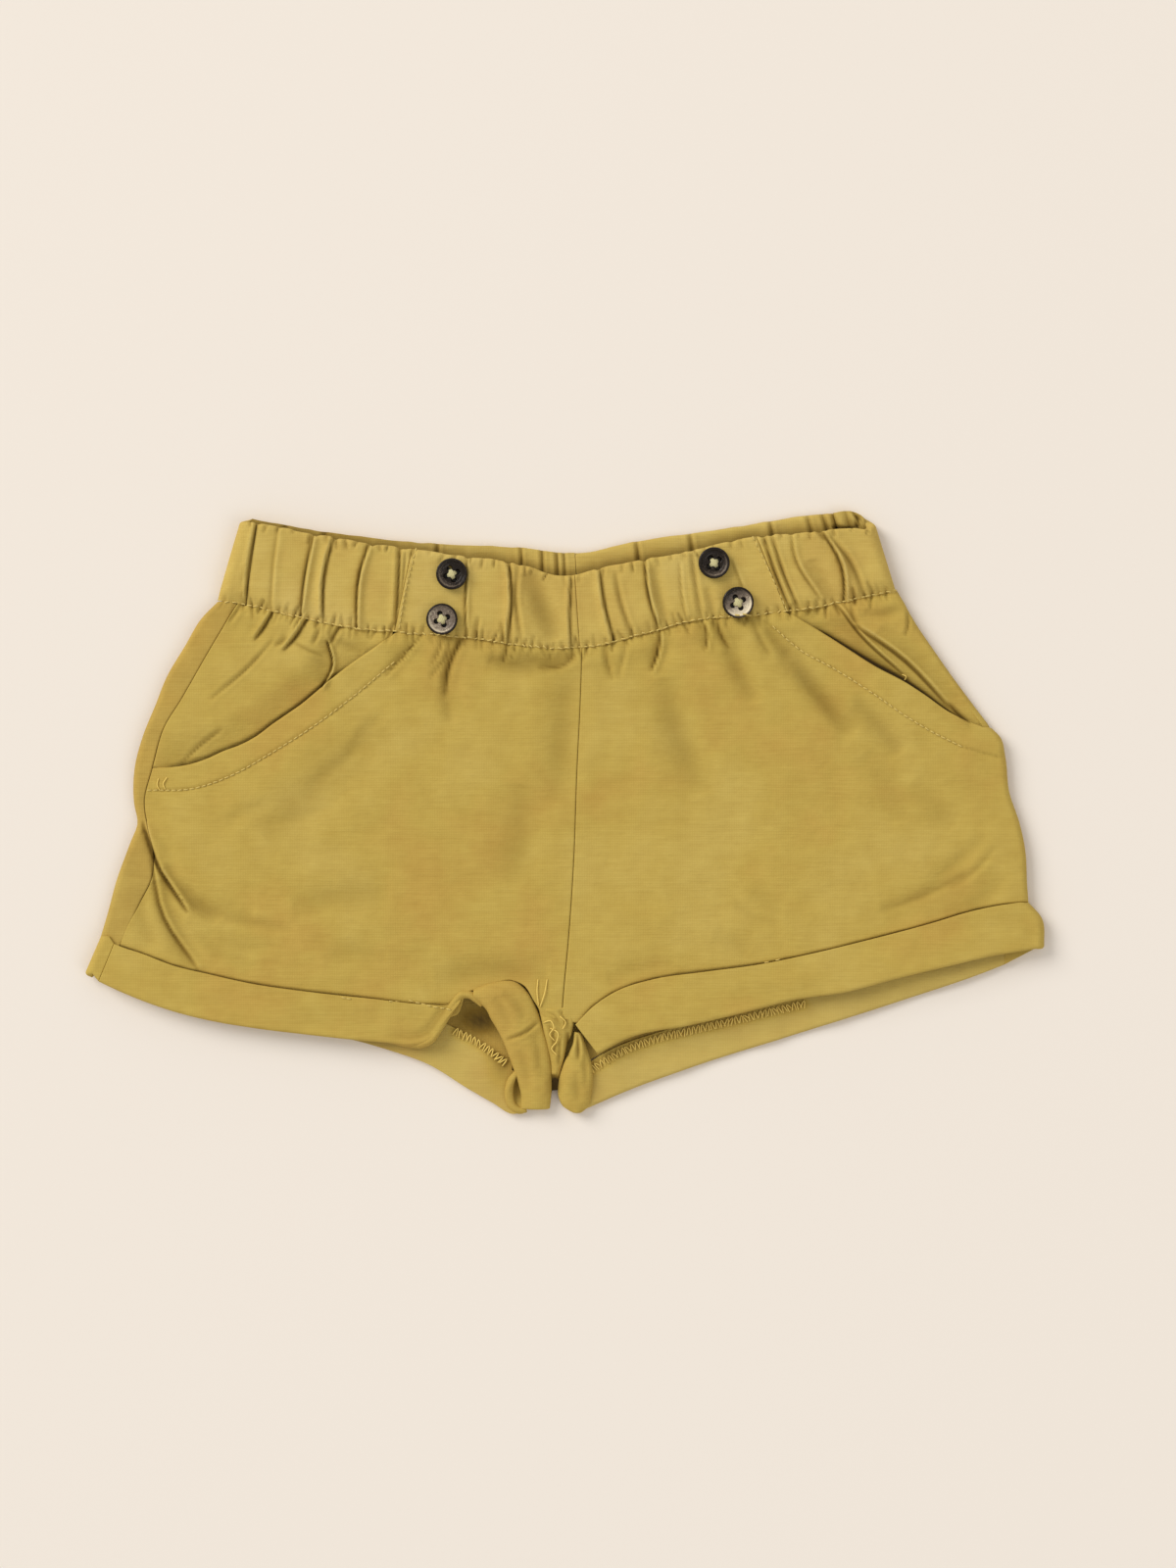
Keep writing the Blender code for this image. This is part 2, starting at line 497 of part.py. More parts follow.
def build_fronts(finish, group):
    """The front panels, from the pocket topstitching and the waist down to the hems."""
    down = even(15)
    seam = moved(LEFT_SEAM, EDGE_GAP, 0.0)
    start = (LEFT_TOPSTITCH[0][0] - SEAM_GAP, LEFT_TOPSTITCH[0][1] - SEAM_GAP)
    seam = [p for p in seam if p[1] < start[1]]
    left_edge = along([start] + seam)
    waist_end = CENTRE_SEAM[0][0] - SEAM_GAP / 2
    waist_start = LEFT_TOPSTITCH[-1][0] + CORNER
    waist = moved(stretch(front_stitch, waist_start, waist_end, 10), 0.0, -EDGE_GAP)
    pocket = [start] + part_of(shifted(LEFT_TOPSTITCH, -EDGE_GAP), 0.1, 0.98, 12)
    top_edge = along(pocket + waist)
    hem = [tuple(p) for p in shifted(LEFT_HEM_TOP, SEAM_GAP)[2:-1]]
    low_edge = along([seam[-1]] + hem + list(LEFT_LEG_END))
    middle = along(moved(CENTRE_SEAM, -SEAM_GAP / 2, 0.0))
    rows = patch(top_edge, low_edge, left_edge, middle, even(25), down)
    sheet("front_left", raised(rows, front_height), finish, group)

    inset = BODY_STACK / 2
    mouth_end = (RIGHT_TOPSTITCH[-1][0], RIGHT_TOPSTITCH[-1][1] - SEAM_GAP)
    side = [mouth_end] + [p for p in RIGHT_SIDE if p[1] < mouth_end[1] - CORNER]
    fold = along(moved(side, -inset, 0.0))
    waist_start = CENTRE_SEAM[0][0] + SEAM_GAP / 2
    waist_end = RIGHT_TOPSTITCH[0][0] - CORNER
    waist = moved(stretch(front_stitch, waist_start, waist_end, 10), 0.0, -EDGE_GAP)
    pocket = part_of(shifted(RIGHT_TOPSTITCH, -EDGE_GAP), 0.02, 0.9, 12) + [tuple(fold(0.0))]
    hem = [tuple(p) for p in shifted(RIGHT_HEM_TOP, SEAM_GAP)[:-1]]
    low_edge = along([RIGHT_LEG_START] + hem + [tuple(fold(1.0))])
    middle = along(moved(CENTRE_SEAM, SEAM_GAP / 2, -EDGE_GAP))
    over = patch(along(waist + pocket), low_edge, middle, fold, even(25), down)
    under = straight_rows(fold, along(moved(side, -SEAM_UNDER, 0.0)), 2, down)
    rows = wrapped_rows(under, [row[::-1] for row in over], front_height, 1, BODY_STACK)
    sheet("front_right", rows, finish, group, flip=True)


def pocket_low_edge(mouth, count):
    """Low edge of a pocket back: tucked under its band, but not at the band's two ends."""
    edge = []
    for t in even(count):
        x, y = along(mouth)(t)
        reach = POCKET_TUCK * math.sin(math.pi * t) ** 0.8 - SEAM_GAP
        ahead = along(mouth)(min(t + 0.01, 1.0)) - along(mouth)(max(t - 0.01, 0.0))
        ahead /= np.linalg.norm(ahead)
        edge.append((x + reach * ahead[1], y - reach * ahead[0]))
    return edge


def build_pocket_backs(finish, group):
    """The side pieces inside the pocket mouths."""
    down = even(9)
    low_edge = pocket_low_edge(LEFT_MOUTH, 12)
    seam = [p for p in moved(LEFT_SEAM, EDGE_GAP, 0.0) if p[1] > LEFT_MOUTH[0][1] + CORNER]
    left_edge = along(seam + [low_edge[0]])
    waist = moved(stretch(front_stitch, seam[0][0], low_edge[-1][0] - EDGE_GAP), 0.0, -EDGE_GAP)
    waist = [seam[0]] + waist[1:]
    right_edge = along([waist[-1], low_edge[-1]])
    rows = patch(along(waist), along(low_edge), left_edge, right_edge, even(14), down)
    sheet("pocket_back_left", raised(rows, pocket_height(LEFT_TOPSTITCH)), finish, group)

    inset = BODY_STACK / 2
    low_edge = pocket_low_edge(RIGHT_MOUTH, 12)
    mouth_end = (RIGHT_MOUTH[-1][0] - EDGE_GAP, RIGHT_MOUTH[-1][1] + EDGE_GAP)
    side = [p for p in RIGHT_SIDE if p[1] > mouth_end[1] + CORNER] + [mouth_end]
    side[0] = (RIGHT_SIDE[0][0], RIGHT_SIDE[0][1] - EDGE_GAP)
    fold = along(moved(side, -inset, 0.0))
    low_edge = low_edge[:-2] + [tuple(fold(1.0))]
    waist = moved(stretch(front_stitch, low_edge[0][0] + EDGE_GAP, fold(0.0)[0]), 0.0, -EDGE_GAP)
    waist = waist[:-1] + [tuple(fold(0.0))]
    left_edge = along([waist[0], low_edge[0]])
    over = patch(along(waist), along(low_edge), left_edge, fold, even(14), down)
    under = straight_rows(fold, along(moved(side, -SEAM_UNDER + EDGE_GAP, 0.0)), 2, down)
    rows = wrapped_rows(under, [row[::-1] for row in over], pocket_height(RIGHT_TOPSTITCH), 1, BODY_STACK)
    sheet("pocket_back_right", rows, finish, group, flip=True)


def flat_stations(low, top, levels, wall, facing=(0.0, 0.0, 1.0)):
    """Stations of a band that lies flat: low and top points, and the height of each middle."""
    return [Station(a, b, z, facing, wall / 2, wall / 2) for a, b, z in zip(low, top, levels)]


def band_stations(mouth, topstitch, count):
    """Stations of a pocket band that follows the front's outer face."""
    top = part_of(mouth, 0.0, 1.0, count)
    low = part_of(topstitch, 0.0, 1.0, count)
    levels = []
    for (x, y), (low_x, low_y) in zip(top, low):
        outer = max(front_height((x + low_x) / 2, (y + low_y) / 2), lift(x, y))
        levels.append(outer + BAND_STEP - BAND_WALL / 2)
    return flat_stations(low, top, levels, BAND_WALL)


def build_pocket_bands(finish, group):
    """The folded, topstitched edges of the pocket mouths, the right one turned round the side."""
    left = band_stations(LEFT_MOUTH, LEFT_TOPSTITCH, 26)
    band("pocket_band_left", left, HEM_SECTION, finish, group)

    inset = BODY_STACK / 2
    fold_low = (RIGHT_TOPSTITCH[-1][0] - inset, RIGHT_TOPSTITCH[-1][1])
    fold_top = (RIGHT_MOUTH[-1][0] - inset, RIGHT_MOUTH[-1][1])
    over = band_stations(RIGHT_MOUTH[:-1] + (fold_top,), RIGHT_TOPSTITCH[:-1] + (fold_low,), 26)
    over[-1] = over[-1]._replace(level=BODY_STACK - BAND_WALL / 2)
    turn = turning((fold_low, fold_top), (fold_low, fold_top), 1, BODY_STACK, BAND_WALL)
    reach = SEAM_UNDER - inset - 2 * EDGE_GAP
    seam = Station((fold_low[0] - reach, fold_low[1]), (fold_top[0] - reach, fold_top[1]),
                   BAND_WALL / 2, (0.0, 0.0, -1.0), BAND_WALL / 2, BAND_WALL / 2)
    stations = [seam] + turn + over[:-1][::-1]
    band("pocket_band_right", stations, HEM_SECTION, finish, group, flip=True)


# The waist casing

def pleated(pleats, line_top, line_low, start, end, sign):
    """Flat stations of the casing between two cross lines, dipping at each pleat.

    Start and end are (top x, low x). The cloth stands highest beside each pleat. The sign is +1
    on the front, where the outer face is pleated, and -1 on the back, where the inner one is.
    """
    marks = [(start[0], start[1], END_DIP)]
    ordered = sorted(pleats, key=lambda pleat: pleat.top_x * math.copysign(1, end[0] - start[0]))
    for pleat in ordered:
        last = marks[-1]
        for share in RIDGE_SHARES:
            top_x = last[0] + (pleat.top_x - last[0]) * share
            low_x = last[1] + (pleat.low_x - last[1]) * share
            marks.append((top_x, low_x, -RIDGE))
        marks.append((pleat.top_x, pleat.low_x, pleat.depth))
    last = marks[-1]
    share = RIDGE_SHARES[0]
    marks.append((last[0] + (end[0] - last[0]) * share, last[1] + (end[1] - last[1]) * share, -RIDGE))
    marks.append((end[0], end[1], END_DIP))
    level_z = CASING_WALL / 2 if sign < 0 else CASING_STACK - CASING_WALL / 2
    stations = []
    for top_x, low_x, depth in marks:
        low = (low_x, line_low(low_x))
        top = (top_x, line_top(top_x))
        outer = CASING_WALL / 2 - (depth if sign > 0 else 0.0)
        inner = CASING_WALL / 2 - (max(depth, 0.0) if sign < 0 else 0.0)
        stations.append(Station(low, top, level_z, (0.0, 0.0, float(sign)), outer, inner))
    return stations


def turning(below, above, side, stack, wall):
    """Stations round a side fold, between a lower cross line and an upper one.

    Each is (low point, top point) on the fold's inset line.
    """
    stations = []
    radius = (stack - wall) / 2
    for k in range(TURN_STEPS + 1):
        angle = math.pi * k / TURN_STEPS
        share = k / TURN_STEPS
        reach = np.array((side * radius * math.sin(angle), 0.0))
        low = np.array(below[0]) * (1 - share) + np.array(above[0]) * share + reach
        top = np.array(below[1]) * (1 - share) + np.array(above[1]) * share + reach
        facing = (side * math.sin(angle), 0.0, -math.cos(angle))
        stations.append(Station(low, top, stack / 2 - radius * math.cos(angle), facing,
                                wall / 2, wall / 2))
    return stations


def build_casing(finish, group):
    """The waist casing: front pieces up to the button flaps, side pieces and back pieces."""
    half = SEAM_GAP / 2
    # Cross lines of the casing, each as (top x, low x)
    left_seam, left_flap = (-100.3, -104.0), (-49.5, -55.4)
    centre, right_flap = (3.4, 5.0), (62.4, 72.4)
    stations = pleated(LEFT_FRONT_PLEATS, front_top, front_stitch,
                       (left_flap[0] + half, left_flap[1] + half),
                       (centre[0] - half, centre[1] - half), 1)
    band("waist_front_left", stations, CASING_SECTION, finish, group)
    stations = pleated(RIGHT_FRONT_PLEATS, front_top, front_stitch,
                       (centre[0] + half, centre[1] + half),
                       (right_flap[0] - half, right_flap[1] - half), 1)
    band("waist_front_right", stations, CASING_SECTION, finish, group)
    stations = pleated(LEFT_SIDE_PLEATS, front_top, front_stitch, (left_seam[0] + half, left_seam[1] + half),
                       (left_flap[0] - half, left_flap[1] - half), 1)
    band("waist_side_left", stations, CASING_SECTION, finish, group)

    inset = CASING_STACK / 2
    left_fold = (FRONT_TOP[0][0] + inset - CORNER, FRONT_STITCH[0][0] + inset)
    fold_top, fold_low = left_fold
    flat = pleated(LEFT_BACK_PLEATS, back_top, back_stitch, (centre[0] - half, centre[1] - half),
                   left_fold, -1)
    above = (fold_low, front_stitch(fold_low)), (fold_top, front_top(fold_top))
    turn = turning((flat[-1].low, flat[-1].top), above, -1, CASING_STACK, CASING_WALL)
    seam = Station((left_seam[1] - half, front_stitch(left_seam[1])),
                   (left_seam[0] - half, front_top(left_seam[0])),
                   CASING_STACK - CASING_WALL / 2, (0.0, 0.0, 1.0), CASING_WALL / 2 - END_DIP,
                   CASING_WALL / 2)
    band("waist_back_left", flat[:-1] + turn + [seam], CASING_SECTION, finish, group)

    right_fold = (FRONT_TOP[-1][0] - inset, FRONT_STITCH[-1][0] - inset)
    fold_top, fold_low = right_fold
    back_end = (fold_top - SEAM_UNDER, fold_low - SEAM_UNDER)
    flat = pleated(RIGHT_BACK_PLEATS, back_top, back_stitch, (centre[0] + half, centre[1] + half),
                   (back_end[0] - SEAM_GAP, back_end[1] - SEAM_GAP), -1)
    band("waist_back_right", flat, CASING_SECTION, finish, group, flip=True)

    over = pleated(RIGHT_SIDE_PLEATS, front_top, front_stitch,
                   (right_flap[0] + half, right_flap[1] + half), right_fold, 1)
    below = (fold_low, back_stitch(fold_top) + CORNER), (fold_top, back_top(fold_top))
    turn = turning(below, (over[-1].low, over[-1].top), 1, CASING_STACK, CASING_WALL)
    seam = Station((back_end[1], back_stitch(back_end[1])), (back_end[0], back_top(back_end[0])),
                   CASING_WALL / 2, (0.0, 0.0, -1.0), CASING_WALL / 2, CASING_WALL / 2)
    band("waist_side_right", [seam] + turn + over[:-1][::-1], CASING_SECTION, finish, group, flip=True)


# The turned-up hems

def hem_levels(low, top):
    """Heights of the middle of a front hem, which follows the front just above it."""
    levels = []
    for (low_x, _), (top_x, top_y) in zip(low, top):
        above = max(top_y, LEFT_SIDE[-1][1])
        levels.append(lift((low_x + top_x) / 2, above) + HEM_STEP - HEM_WALL / 2)
    return levels


def build_front_hems(finish, group):
    """The hems on the front, the right one turned round the side fold."""
    count = 26
    low = part_of(LEFT_HEM_LOW, HEM_SEAM_SHARE + 0.003, 1.0, count)
    top = part_of(LEFT_HEM_TOP, HEM_SEAM_SHARE + 0.003, 1.0, count)
    levels = hem_levels(low, top)
    band("hem_front_left", flat_stations(low, top, levels, HEM_WALL), HEM_SECTION, finish, group)

    inset = HEM_STACK / 2
    fold_low = (RIGHT_HEM_LOW[-1][0] - inset, RIGHT_HEM_LOW[-1][1])
    fold_top = (RIGHT_HEM_TOP[-1][0] - inset, RIGHT_HEM_TOP[-1][1])
    low = part_of(list(RIGHT_HEM_LOW[:-1]) + [fold_low], 0.0, 1.0, count)
    top = part_of(list(RIGHT_HEM_TOP[:-1]) + [fold_top], 0.0, 1.0, count)
    levels = hem_levels(low, top)
    levels[-1] = HEM_STACK - HEM_WALL / 2
    over = flat_stations(low, top, levels, HEM_WALL)
    turn = turning((fold_low, fold_top), (over[-1].low, over[-1].top), 1, HEM_STACK, HEM_WALL)
    seam = Station((fold_low[0] - SEAM_UNDER, fold_low[1] - HEM_SLOPE),
                   (fold_top[0] - SEAM_UNDER, fold_top[1] - HEM_SLOPE),
                   HEM_WALL / 2, (0.0, 0.0, -1.0), HEM_WALL / 2, HEM_WALL / 2)
    band("hem_front_right", [seam] + turn + over[:-1][::-1], HEM_SECTION, finish, group, flip=True)


def build_back_hems(finish, group):
    """The hems on the back, the left one turned round the side fold to the seam."""
    inset = HEM_STACK / 2
    down = (0.0, 0.0, -1.0)
    fold_low = (LEFT_BACK_HEM[0][0] + inset, LEFT_BACK_HEM[0][1])
    fold_top = (LEFT_HEM_TOP[0][0] + inset, LEFT_HEM_TOP[0][1])
    hem = [fold_low] + list(LEFT_BACK_HEM[1:])
    inner_top = (LEFT_BACK_HEM[-1][0], BACK_SEAM[-1][1] - EDGE_GAP)
    top_line = [fold_top] + [tuple(p) for p in shifted(LEFT_BACK_HEM, HEM_WIDTH)[1:-1]] + [inner_top]
    low = part_of(hem, 1.0, 0.0, 20)
    top = part_of(top_line, 1.0, 0.0, 20)
    flat = flat_stations(low, top, [HEM_WALL / 2] * len(low), HEM_WALL, down)
    above = (LEFT_HEM_LOW[0][0] + inset, LEFT_HEM_LOW[0][1] + SEAM_GAP), fold_top
    turn = turning((low[-1], top[-1]), above, -1, HEM_STACK, HEM_WALL)
    seam_low = tuple(along(LEFT_HEM_LOW)(HEM_SEAM_SHARE))
    seam_top = tuple(along(LEFT_HEM_TOP)(HEM_SEAM_SHARE))
    seam = Station(seam_low, seam_top, HEM_STACK - HEM_WALL / 2, (0.0, 0.0, 1.0), HEM_WALL / 2,
                   HEM_WALL / 2)
    band("hem_back_left", flat[:-1] + turn + [seam], HEM_SECTION, finish, group)

    reach = inset + SEAM_UNDER + SEAM_GAP
    end_low = (RIGHT_HEM_LOW[-1][0] - reach, RIGHT_HEM_LOW[-1][1] - HEM_SLOPE)
    end_top = (RIGHT_HEM_TOP[-1][0] - reach, RIGHT_HEM_TOP[-1][1] - HEM_SLOPE)
    low = part_of(list(RIGHT_BACK_HEM[:-1]) + [end_low], 0.0, 1.0, 18)
    inner_top = (RIGHT_BACK_HEM[0][0], RIGHT_BACK_HEM[0][1] + HEM_WIDTH)
    top_line = [inner_top] + [tuple(p) for p in shifted(RIGHT_BACK_HEM, HEM_WIDTH)[1:-1]] + [end_top]
    top = part_of(top_line, 0.0, 1.0, 18)
    flat = flat_stations(low, top, [HEM_WALL / 2] * len(low), HEM_WALL, down)
    band("hem_back_right", flat, HEM_SECTION, finish, group, flip=True)


def build_inner_hems(finish, group):
    """The inner thigh stretches of the hems, and the folded end of the crotch seam."""
    for name, table, wall in (("hem_inner_left", LEFT_INNER, HEM_WALL),
                              ("hem_inner_right", RIGHT_INNER, HEM_WALL),
                              ("crotch_fold", CROTCH_FOLD, CLOTH + 0.4)):
        left = part_of([(s.x0, s.y0) for s in table], 0.0, 1.0, 14)
        right = part_of([(s.x1, s.y1) for s in table], 0.0, 1.0, 14)
        levels = np.interp(even(13), even(len(table) - 1), [s.level for s in table])
        band(name, flat_stations(left, right, levels, wall), HEM_SECTION, finish, group)


# The buttons

def turned_button(button, base, finish, group, cutters):
    """A four-hole button: a turned disc with a raised rim and a dished middle."""
    radius = BUTTON_SIZE / 2
    profile = ((0.0, BUTTON_HEIGHT * 0.52), (radius * 0.55, BUTTON_HEIGHT * 0.56),
               (radius * 0.66, BUTTON_HEIGHT * 0.95), (radius * 0.82, BUTTON_HEIGHT),
               (radius * 0.96, BUTTON_HEIGHT * 0.8), (radius, BUTTON_HEIGHT * 0.45),
               (radius * 0.86, BUTTON_HEIGHT * 0.06), (radius * 0.7, 0.0), (0.0, 0.0))
    points = [(x, 0.0, z) for x, z in profile]
    mesh = bpy.data.meshes.new(button.name)
    edges = [(i, i + 1) for i in range(len(points) - 1)]
    mesh.from_pydata([tuple(c * MM for c in p) for p in points], edges, [])
    mesh.materials.append(finish)
    disc = bpy.data.objects.new(button.name, mesh)
    group.objects.link(disc)
    disc.location = (button.x * MM, button.y * MM, base * MM)
    disc.rotation_euler = (0.0, 0.0, button.turn)
    screw = disc.modifiers.new("turned", "SCREW")
    screw.steps = BUTTON_SIDES
    screw.render_steps = BUTTON_SIDES
    screw.use_merge_vertices = True
    screw.merge_threshold = 0.00001
    screw.use_smooth_shade = True
    for k in range(4):
        angle = math.pi / 2 * k + math.pi / 4 + button.turn
        place = BUTTON_HOLE_PLACE
        x = button.x + place * math.cos(angle)
        y = button.y + place * math.sin(angle)
        bpy.ops.mesh.primitive_cylinder_add(vertices=6, radius=BUTTON_HOLE / 2 * MM,
                                            depth=BUTTON_HEIGHT * 3 * MM,
                                            location=(x * MM, y * MM, (base + 1) * MM))
        drill = bpy.context.active_object
        drill.name = f"drill_{button.name}_{k}"
        for owner in drill.users_collection:
            owner.objects.unlink(drill)
        cutters.objects.link(drill)
        drill.hide_render = True
        drill.display_type = "WIRE"
        cut = disc.modifiers.new(f"hole_{k}", "BOOLEAN")
        cut.object = drill
        cut.operation = "DIFFERENCE"
        cut.solver = "EXACT"


def main():
    """Build the shorts."""
    for old in list(bpy.data.objects):
        bpy.data.objects.remove(old, do_unlink=True)
    group = collection("baby_shorts")
    cutters = collection("cutters")
    cloth = material("mustard_cotton", (0.53, 0.36, 0.08), 0.9)
    casing = material("mustard_casing", (0.50, 0.34, 0.08), 0.9)
    hem = material("mustard_hem", (0.52, 0.35, 0.08), 0.9)
    lining = material("mustard_inside", (0.45, 0.30, 0.07), 0.92)
    horn = material("dark_horn", (0.05, 0.035, 0.03), 0.35)
    build_backs(lining, group)
    build_fronts(cloth, group)
    build_pocket_backs(cloth, group)
    build_pocket_bands(cloth, group)
    build_casing(casing, group)
    build_front_hems(hem, group)
    build_back_hems(hem, group)
    build_inner_hems(hem, group)
    for button in BUTTONS:
        turned_button(button, CASING_STACK + 0.2 + BUTTON_SEAT, horn, group, cutters)


main()
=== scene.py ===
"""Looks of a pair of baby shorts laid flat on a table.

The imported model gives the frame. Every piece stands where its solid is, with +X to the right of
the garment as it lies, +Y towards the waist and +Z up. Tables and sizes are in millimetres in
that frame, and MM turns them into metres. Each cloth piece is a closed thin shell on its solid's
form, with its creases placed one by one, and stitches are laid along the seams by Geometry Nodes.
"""
import logging
import math
from dataclasses import dataclass, field
from enum import Enum
from functools import partial
from typing import Any, Callable, Sequence

import bpy
import numpy as np
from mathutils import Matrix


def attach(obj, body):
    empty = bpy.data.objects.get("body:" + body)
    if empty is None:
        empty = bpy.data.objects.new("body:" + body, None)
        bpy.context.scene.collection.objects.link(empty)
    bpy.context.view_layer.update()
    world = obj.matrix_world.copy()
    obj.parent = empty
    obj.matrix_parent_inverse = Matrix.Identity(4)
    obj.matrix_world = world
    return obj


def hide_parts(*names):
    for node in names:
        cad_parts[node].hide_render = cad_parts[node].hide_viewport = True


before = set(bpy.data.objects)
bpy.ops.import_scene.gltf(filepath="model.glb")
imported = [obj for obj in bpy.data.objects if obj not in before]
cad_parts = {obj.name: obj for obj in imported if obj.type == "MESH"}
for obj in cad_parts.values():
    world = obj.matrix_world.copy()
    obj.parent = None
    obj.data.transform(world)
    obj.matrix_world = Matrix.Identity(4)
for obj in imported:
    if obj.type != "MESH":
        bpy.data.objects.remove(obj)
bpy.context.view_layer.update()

Array = np.ndarray
Points = Sequence[tuple[float, float]]
Rows = Sequence[Sequence[float]]
Object = bpy.types.Object
Material = bpy.types.Material
Socket = bpy.types.NodeSocket
Tree = bpy.types.NodeTree

MM = 0.001
log = logging.getLogger("baby_shorts")

# Outline and seams of the garment, x and y of the points that the shape needs
LEFT_SIDE = (
    (-113.3, 69), (-118.4, 63.8), (-124.2, 54.2), (-129.9, 44.6), (-133.8, 35), (-138, 24.5),
    (-140.6, 14), (-140.7, 3), (-139.6, -3.4), (-142, -10), (-146.6, -22.6), (-149.1, -32.2),
    (-151.2, -39.4))
LEFT_SEAM = (
    (-106.9, 68.1), (-115.2, 54.2), (-125.1, 37), (-130.6, 28), (-134.6, 14.4), (-137.2, 3), (-136, -4.6),
    (-134.4, -11.7), (-134.8, -21.3), (-138.9, -29.7), (-144.6, -41.4))
RIGHT_SIDE = (
    (108.8, 72.5), (113.6, 63.8), (120, 54.2), (126.7, 44.6), (133.8, 35), (139.3, 27.4), (142.6, 24.4),
    (144.2, 18), (145.4, 7), (148.8, -3.4), (150.6, -12), (151.2, -24), (151.6, -29))
CENTRE_SEAM = (
    (5.8, 53.8), (5.1, 33.8), (4.2, 15.8), (2.9, -18.4), (1.3, -41.4), (-0.4, -60), (-0.9, -67))
BACK_SEAM = ((4.5, 59.4), (4, 15), (2, -30), (-2, -84))
FRONT_TOP = (
    (-104.3, 95.2), (-81.9, 91), (-59.5, 87.2), (-46.7, 85.6), (-31.4, 83.4), (-17.9, 81.8),
    (-10.7, 79.9), (-2.5, 77.5), (1.5, 77.5), (10.9, 79.8), (26.9, 82.7), (39.7, 85.3), (58.9, 89.4),
    (73.6, 91), (87.7, 92.6), (101.4, 92.3))
FRONT_STITCH = (
    (-113.3, 69), (-104.6, 67.7), (-85.1, 63.2), (-67.8, 59.7), (-54.4, 58.7), (-43.8, 58.1),
    (-30.4, 56.8), (-7.4, 53.9), (5, 53.7), (23.4, 57.4), (45.4, 62.9), (63, 64.2), (73, 65.8),
    (85.1, 67.4), (97.3, 70.2), (108.8, 72.5))
BACK_TOP = (
    (-104.3, 96.4), (-91.5, 93.9), (-65.9, 90.1), (-40.3, 87.8), (-14.7, 86.6), (4.5, 85), (23.7, 88.8),
    (49.3, 92.6), (70, 95.9), (86, 98), (94.1, 98.3), (101.4, 94.5))
LEFT_MOUTH = (
    (-134.4, 14.9), (-125.8, 15.2), (-119, 16.8), (-111.7, 20), (-103, 23.5), (-94.4, 29.6),
    (-84.8, 36.3), (-77.4, 42.6), (-68.8, 49.3), (-62.1, 53.9), (-56, 58.2))
LEFT_TOPSTITCH = (
    (-135.4, 7.4), (-121.9, 7.8), (-107.8, 12.6), (-97, 18.7), (-82.2, 28), (-70.1, 37), (-56, 48.8),
    (-46, 57.6))
RIGHT_MOUTH = (
    (73, 65.4), (80.6, 61), (86.4, 57.4), (92.8, 53.3), (101.4, 47.8), (111, 42.7), (118.4, 37.9),
    (126.7, 32.2), (132.5, 29.6), (139.6, 27))
RIGHT_TOPSTITCH = (
    (62.6, 63.6), (68.4, 60.4), (76.2, 53.6), (88.6, 46.6), (101.4, 38.4), (109.8, 32.5), (119.4, 26.7),
    (129, 21.9), (144.2, 17.6))
LEFT_HEM_TOP = (
    (-151.4, -40.2), (-146.2, -43), (-137.6, -45.9), (-127.4, -49.8), (-115.8, -52.6), (-101.1, -55.8),
    (-85.1, -58.1), (-62.4, -60.6), (-45.1, -62.4), (-36.6, -62.2), (-32.4, -59.2))
LEFT_HEM_LOW = (
    (-156.9, -52.6), (-150.4, -55.8), (-137.6, -61.3), (-127.4, -64.8), (-115.8, -67.7), (-101.1, -70.2),
    (-85.1, -72.2), (-57.6, -75), (-47.4, -75.7), (-42.6, -73.6), (-38.4, -67.6), (-34.6, -62.8))
RIGHT_HEM_TOP = (
    (3.6, -69), (9.6, -62.9), (17.6, -57.8), (29.1, -54.2), (46.4, -51.7), (63.4, -49.4), (80.6, -45.9),
    (97.6, -41.8), (120.6, -35.7), (132.2, -32.2), (143.4, -29.9), (151.6, -29.2))
RIGHT_HEM_LOW = (
    (10.9, -78.6), (21.1, -73.4), (40.6, -69.3), (57.6, -65.4), (74.9, -61), (92.2, -58.4),
    (109.1, -53.9), (126.4, -49.8), (138.9, -46.9), (147.4, -45.4), (156.8, -44.4))
LEFT_BACK_HEM = (
    (-156.7, -53), (-149.1, -56.5), (-136.3, -61.6), (-123.5, -65.1), (-110.7, -68.3), (-91.5, -71.4),
    (-72.3, -73.6), (-56.6, -77.9), (-45.1, -82), (-30.6, -90.8), (-23.6, -94.8), (-16.4, -98.5),
    (-13.2, -97.6))
RIGHT_BACK_HEM = (
    (6.2, -97.3), (18.7, -91.8), (40.6, -83.7), (74.9, -72.8), (109.1, -61.9), (138.9, -51.7),
    (156.6, -45))
LEFT_LEG_END = (
    (-31, -58), (-28.6, -57.6), (-16.6, -54.6), (-13.4, -56), (-9.6, -61.6), (-6, -66.5), (-0.9, -66.8))
RIGHT_LEG_START = (-0.7, -67)


class Kind(Enum):
    """How the cloth lies across a crease."""

    SOFT = "round trough"
    SHARP = "narrow trough between two raised lips"
    LAP = "step where the cloth folds over itself, raised on the left of the route"


@dataclass(frozen=True)
class Crease:
    """One crease: three points along it, its half width, its depth and its kind."""

    x0: float
    y0: float
    x1: float
    y1: float
    x2: float
    y2: float
    width: float
    depth: float
    kind: Kind = Kind.SOFT


SOFT, SHARP, LAP = Kind.SOFT, Kind.SHARP, Kind.LAP

